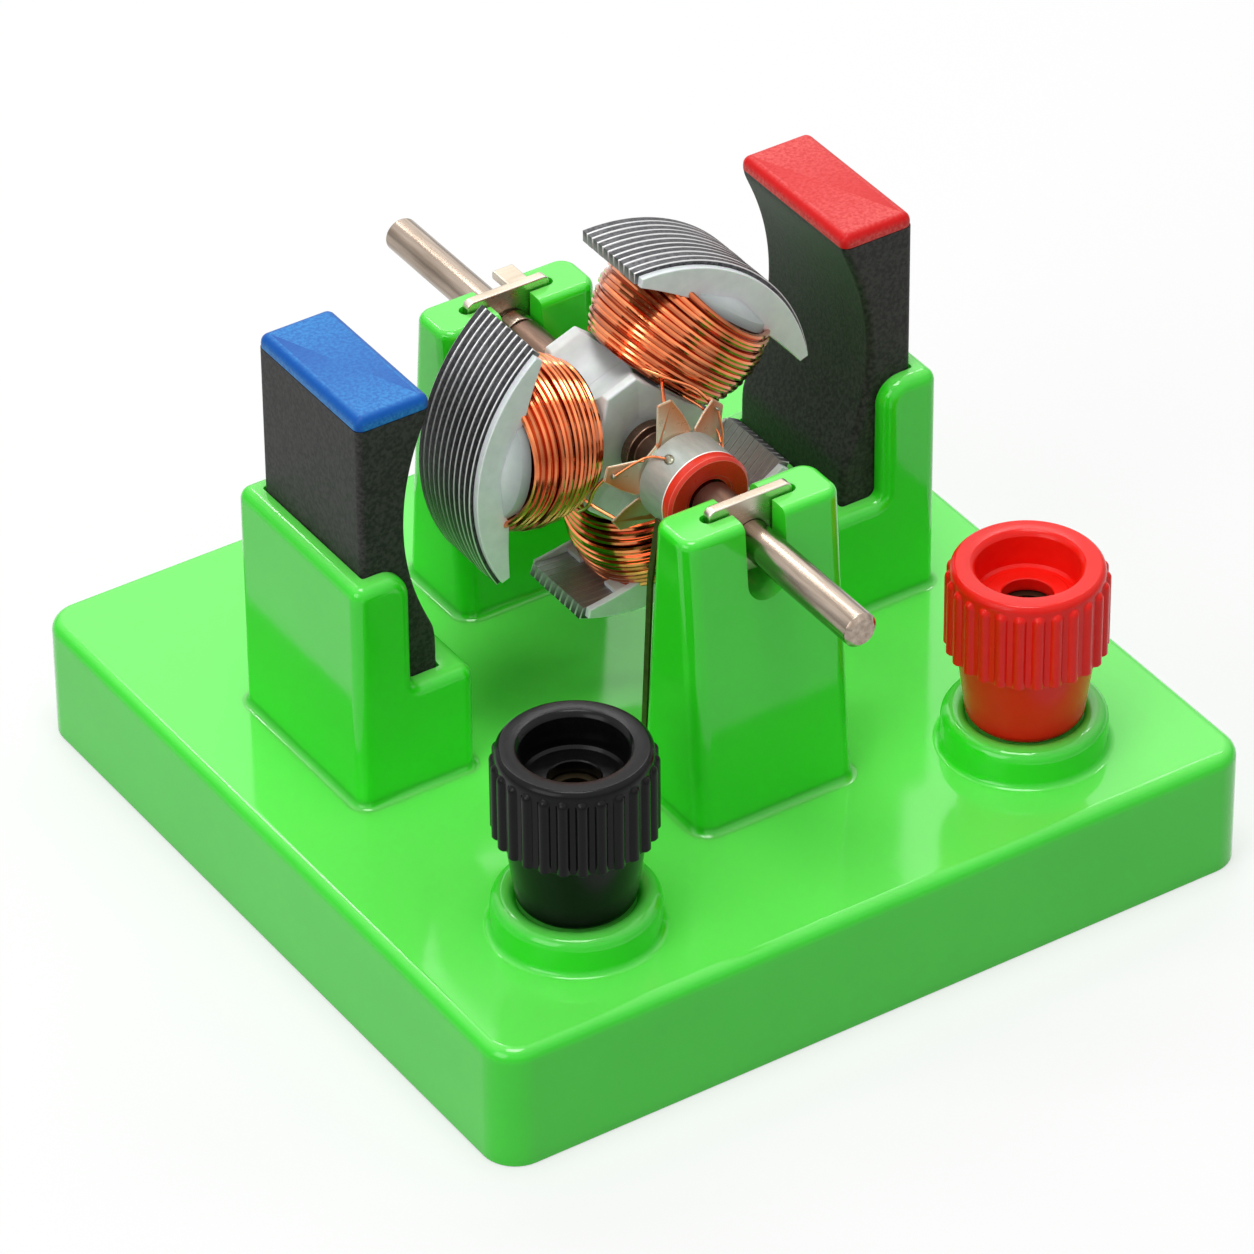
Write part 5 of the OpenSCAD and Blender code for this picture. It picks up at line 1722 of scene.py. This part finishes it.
@dataclass
class Brushes:
    """Two narrow spring strips, each bent from its foot under the deck up to the drum's side."""

    thick: float = 0.3
    wide: float = 0.9
    foot_x: float = 7.1
    knee_x: float = 5.9
    knee_z: float = 38.0
    bend_r: float = 8.0

    def __post_init__(self) -> None:
        """Reads the right brush's box; the strip keeps to its front edge."""
        self.box = Span.of("brush_right")
        self.mid_y = self.box.lo[1] + self.wide / 2

    def strip(self) -> Surface:
        """Right strip: its bent side view carried across its width.

        Returns:
            The closed surface.
        """
        t, low, deck = self.thick, self.box.lo[2], Span.of("pillar_front").lo[2]
        foot, end = self.foot_x, self.box.hi[0]
        tip, top = self.box.lo[0], self.box.hi[2]
        view = Outline.rounded([
            (foot - t / 2, low, 0.35), (end, low, 0.05), (end, low + t, 0.05), (foot + t / 2, low + t, 0.1),
            (foot + t / 2, deck, 1.0), (self.knee_x + t, self.knee_z, self.bend_r),
            (tip + t, top, 0.1), (tip, top, 0.1), (self.knee_x, self.knee_z, self.bend_r),
            (foot - t / 2, deck, 1.0)], 12)
        front, back = self.mid_y - self.wide / 2, self.mid_y + self.wide / 2
        return slab(view, front, back, (0.05, 0.05), 2).placed(ALONG_Y)

    def build(self) -> None:
        """Makes both strips."""
        right = self.strip()
        Workshop.make("strip_right", right, STRIP, Body.STAND, ["brush_right"])
        Workshop.make("strip_left", right.mirrored_x(), STRIP, Body.STAND, ["brush_left"])


@dataclass
class Terminals:
    """Two screw terminals: a bush on the collar and a fluted cap with a deep recess."""

    flutes: int = 26
    flute_r: float = 0.76
    per_flute: int = 14
    cap_r: float = 8.8
    valley_r: float = 8.3
    flat_r: float = 7.75
    crease: float = 65.0
    finger_drop: float = 1.0
    finger_h: float = 0.8
    recess_r: float = 5.6
    chamfer: float = 0.5
    recess_depth: float = 4.4
    ring_r: float = 4.5
    ring_h: float = 0.4
    hole_r: float = 2.8
    well_r: float = 4.55
    well_h: float = 4.62
    bush_bore: float = 3.05
    bush_foot_r: float = 6.3
    bush_top_r: float = 7.5
    bush_sides: int = 96

    def cap(self, node: str) -> Surface:
        """Fluted cap: a closed section in radius and height turned round the post, with ribs on its wall.

        At a distance x from a rib's middle the wall stands at max(valley, cap_r - flute_r +
        sqrt((flute_r w)^2 - x^2)). The weight w is 1 up the wall and falls as a quarter circle to 0
        at the rib's round top, below the shoulder.

        Args:
            node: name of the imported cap.

        Returns:
            The closed surface.
        """
        box = Span.of(node)
        low, high = box.lo[2], box.hi[2]
        floor = high - self.recess_depth
        crease = math.radians(self.crease)
        round_r = (self.valley_r - self.flat_r) / (1 - math.cos(crease))
        a = np.linspace(0, crease, 9)
        shoulder = np.stack([self.valley_r - round_r * (1 - np.cos(a)),
                             high - round_r * (math.sin(crease) - np.sin(a))], 1)
        t = np.linspace(0, math.pi / 2, 8)
        finger = high - self.finger_drop - self.finger_h * (1 - np.sin(t))
        heights = np.concatenate([[low, low + 0.2], finger])
        weight = np.concatenate([[0.8, 1.0], np.cos(t), np.zeros(len(shoulder))])
        wall = np.stack([np.full(len(heights), self.valley_r), heights], 1)
        wall[0, 0] -= 0.1
        r, c = self.recess_r, self.chamfer
        inner = np.array([
            [self.flat_r - 0.1, high], [r + c + 0.1, high], [r + c, high - 0.03], [r + 0.05, high - c],
            [r, high - c - 0.12], [r, floor + 0.3], [r - 0.3, floor],
            [self.ring_r + 0.1, floor], [self.ring_r, floor + self.ring_h - 0.08],
            [self.ring_r - 0.1, floor + self.ring_h], [self.hole_r + 0.12, floor + self.ring_h],
            [self.hole_r, floor + self.ring_h - 0.12], [self.hole_r, floor - 0.9],
            [self.bush_bore, floor - 0.95], [self.bush_bore, low + self.well_h + 0.02],
            [self.well_r, low + self.well_h], [self.well_r, low + 0.1], [self.well_r + 0.1, low]])
        section = np.concatenate([wall, shoulder, inner])
        fade = np.concatenate([weight, np.zeros(len(inner))])
        count = self.flutes * self.per_flute
        angle = TURN * np.arange(count) / count
        x = self.cap_r * (TURN / self.flutes) * (((np.arange(count) / self.per_flute) % 1) - 0.5)
        reach = (self.flute_r * fade[:, None]) ** 2 - x[None] ** 2
        rib = np.where(reach > 0, self.cap_r - self.flute_r + np.sqrt(np.maximum(reach, 0)), 0)
        radius = np.maximum(section[:, 0, None], rib)
        mid = box.mid
        rings = np.stack([mid[0] + radius * np.cos(angle), mid[1] + radius * np.sin(angle),
                          section[:, 1, None] + 0 * angle], -1)
        return Surface.of_rings(rings, wrap=True)

    def bush(self, node: str) -> Surface:
        """Bush: a cone that widens upwards, with a round foot.

        Args:
            node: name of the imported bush.

        Returns:
            The closed surface.
        """
        box = Span.of(node)
        low, high = box.lo[2], box.hi[2]
        section = Outline.rounded([(self.bush_bore, low, 0.1), (self.bush_foot_r, low, 1.6),
                                   (self.bush_top_r, high, 0.15), (self.bush_bore, high, 0.1)], 8)
        return revolved(section, self.bush_sides).placed(shift(box.mid[0], box.mid[1], 0))

    def build(self) -> None:
        """Makes both terminals and gives the kept nodes their finish."""
        for colour, finish, body in (("black", BLACK, Body.BLACK_CAP), ("red", RED, Body.RED_CAP)):
            Workshop.make(f"knob_{colour}", self.cap(f"screw_cap_{colour}"), finish, body,
                          [f"screw_cap_{colour}"])
            Workshop.make(f"cone_{colour}", self.bush(f"bush_{colour}"), finish, Body.STAND,
                          [f"bush_{colour}"])
            Workshop.refinish(f"stud_{colour}", BRASS)
            Workshop.refinish(f"insert_{colour}", SHADED_INSERT)


@dataclass
class Underside:
    """Fasteners and wiring below the deck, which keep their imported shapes."""

    def build(self) -> None:
        """Gives each kept node its finish."""
        for node, finish in (("terminal_washers", ZINC), ("terminal_nuts", ZINC), ("solder_lugs", ZINC),
                             ("hookup_left", BLACK_LEAD), ("hookup_right", RED_LEAD)):
            Workshop.refinish(node, finish)


@dataclass
class Studio:
    """White floor, soft lamps and the camera."""

    azimuth: float = -33.027
    elevation: float = 36.295
    roll: float = -0.552
    slide: tuple[float, float] = (-1.039, -2.436)
    aim_z: float = 25.0
    distance: float = 872.088
    focal_px: float = 8132.06
    frame_px: float = 1254.0
    sensor: float = 36.0
    sky_low: float = 0.55
    sky_high: float = 1.4
    room_light: float = 0.35
    floor_half: float = 3000.0
    floor_glow: float = 0.62
    floor_grey: float = 0.5
    floor_seen: float = 0.34
    lamp_aim: tuple[float, float, float] = (0.0, 0.0, 0.03)

    def camera(self) -> None:
        """Places the camera: back along the view from the aim, slid across and turned by the roll."""
        az, el, roll = (math.radians(v) for v in (self.azimuth, self.elevation, self.roll))
        right = np.array([math.cos(az), math.sin(az), 0])
        up = np.array([-math.sin(az) * math.sin(el), math.cos(az) * math.sin(el), math.cos(el)])
        back = np.cross(right, up)
        x = math.cos(roll) * right + math.sin(roll) * up
        y = -math.sin(roll) * right + math.cos(roll) * up
        place = self.slide[0] * x + self.slide[1] * y + np.array([0, 0, self.aim_z]) + back * self.distance
        data = bpy.data.cameras.new("camera")
        data.sensor_width, data.lens = self.sensor, self.focal_px / self.frame_px * self.sensor
        data.clip_start, data.clip_end = 0.05, 20
        camera = bpy.data.objects.new("camera", data)
        bpy.context.scene.collection.objects.link(camera)
        camera.matrix_world = Matrix(facing(place * MM, x, y, back).tolist())
        bpy.context.scene.camera = camera

    def lamp(self, name: str, place: Sequence[float], size: tuple[float, float], power: float) -> None:
        """Adds a soft lamp that faces the motor, with its long side level.

        Args:
            name: its name.
            place: where it hangs, in metres.
            size: its width and height, in metres.
            power: its power in watts.
        """
        data = bpy.data.lights.new(name, "AREA")
        data.shape, data.energy = "RECTANGLE", power
        data.size, data.size_y = size
        lamp = bpy.data.objects.new(name, data)
        bpy.context.scene.collection.objects.link(lamp)
        lamp.location = place
        lamp.rotation_euler = (Vector(place) - Vector(self.lamp_aim)).to_track_quat("Z", "Y").to_euler()

    def world(self) -> None:
        """White for the camera, a sky that brightens upwards for mirrors and glass, and a softer grey
        light for the rest."""
        world = bpy.data.worlds.new("studio")
        world.use_nodes = True
        work = Tree(world.node_tree)
        path = work.add("ShaderNodeLightPath")
        up = work.add("ShaderNodeSeparateXYZ", {0: work.add("ShaderNodeTexCoord").outputs["Generated"]})
        sky = work.add("ShaderNodeMapRange", {"Value": up.outputs["Z"], "From Max": 0.6,
                                              "To Min": self.sky_low, "To Max": self.sky_high}).outputs[0]
        plain = work.add("ShaderNodeMapRange", {"Value": path.outputs["Is Camera Ray"],
                                                "To Min": self.room_light, "To Max": 1.0}).outputs[0]
        mirrored = work.sums("MAXIMUM", path.outputs["Is Glossy Ray"], path.outputs["Is Transmission Ray"])
        strength = work.add("ShaderNodeMix", {0: mirrored, 2: plain, 3: sky}).outputs[0]
        light = work.add("ShaderNodeBackground", {"Color": (1.0, 1.0, 1.0, 1.0), "Strength": strength})
        work.add("ShaderNodeOutputWorld", {"Surface": light.outputs[0]})
        bpy.context.scene.world = world

    def floor(self) -> None:
        """Pale floor that keeps the shadow; a little of its own light for the camera brings it to white."""
        half = self.floor_half
        corners = np.array([[-half, -half, 0], [half, -half, 0], [half, half, 0], [-half, half, 0]])
        flat = Surface(corners, [np.array([[0, 1, 2, 3]])], np.zeros(4), np.zeros(4))
        floor = Workshop.piece("floor", flat)
        made = bpy.data.materials.new("floor")
        made.use_nodes = True
        work = Tree(made.node_tree)
        path = work.add("ShaderNodeLightPath")
        seen = work.sums("MAXIMUM", path.outputs["Is Camera Ray"], path.outputs["Is Glossy Ray"])
        tint = work.blend(seen, (*[self.floor_grey] * 3, 1.0), (*[self.floor_seen] * 3, 1.0))
        paint = work.add("ShaderNodeBsdfDiffuse", {"Color": tint})
        glow = work.add("ShaderNodeEmission", {"Color": (1.0, 1.0, 1.0, 1.0),
                                               "Strength": work.sums("MULTIPLY", seen, self.floor_glow)})
        both = work.add("ShaderNodeAddShader", {0: paint.outputs[0], 1: glow.outputs[0]})
        work.add("ShaderNodeOutputMaterial", {"Surface": both.outputs[0]})
        floor.data.materials.append(made)

    def build(self) -> None:
        """Makes the camera, lamps, world and floor."""
        self.camera()
        self.world()
        self.floor()
        self.lamp("back box", (0.2, 0.42, 0.36), (0.52, 0.52), 0.5)
        self.lamp("rim strip", (0.26, 0.45, 0.63), (0.7, 0.035), 1.1)
        self.lamp("left box", (-0.7, -0.2, 0.5), (0.5, 0.5), 2.1)
        self.lamp("overhead box", (-0.05, -0.05, 0.8), (0.32, 0.32), 3.0)
        bpy.context.scene.view_settings.view_transform = "Standard"


def main() -> None:
    """Builds every part of the motor in order."""
    logging.basicConfig(level=logging.INFO, format="%(message)s")
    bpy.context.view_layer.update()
    Studio().build()
    rotor = Rotor()
    for assembly in (Moulding(), Magnets(), Bearings(), Shaft(), Core(rotor), Insulators(rotor),
                     Windings(rotor), Commutator(rotor), Brushes(), Terminals(), Underside()):
        assembly.build()
        log.info("%s done", type(assembly).__name__)
    bpy.context.view_layer.update()


if __name__ == "__main__":
    main()
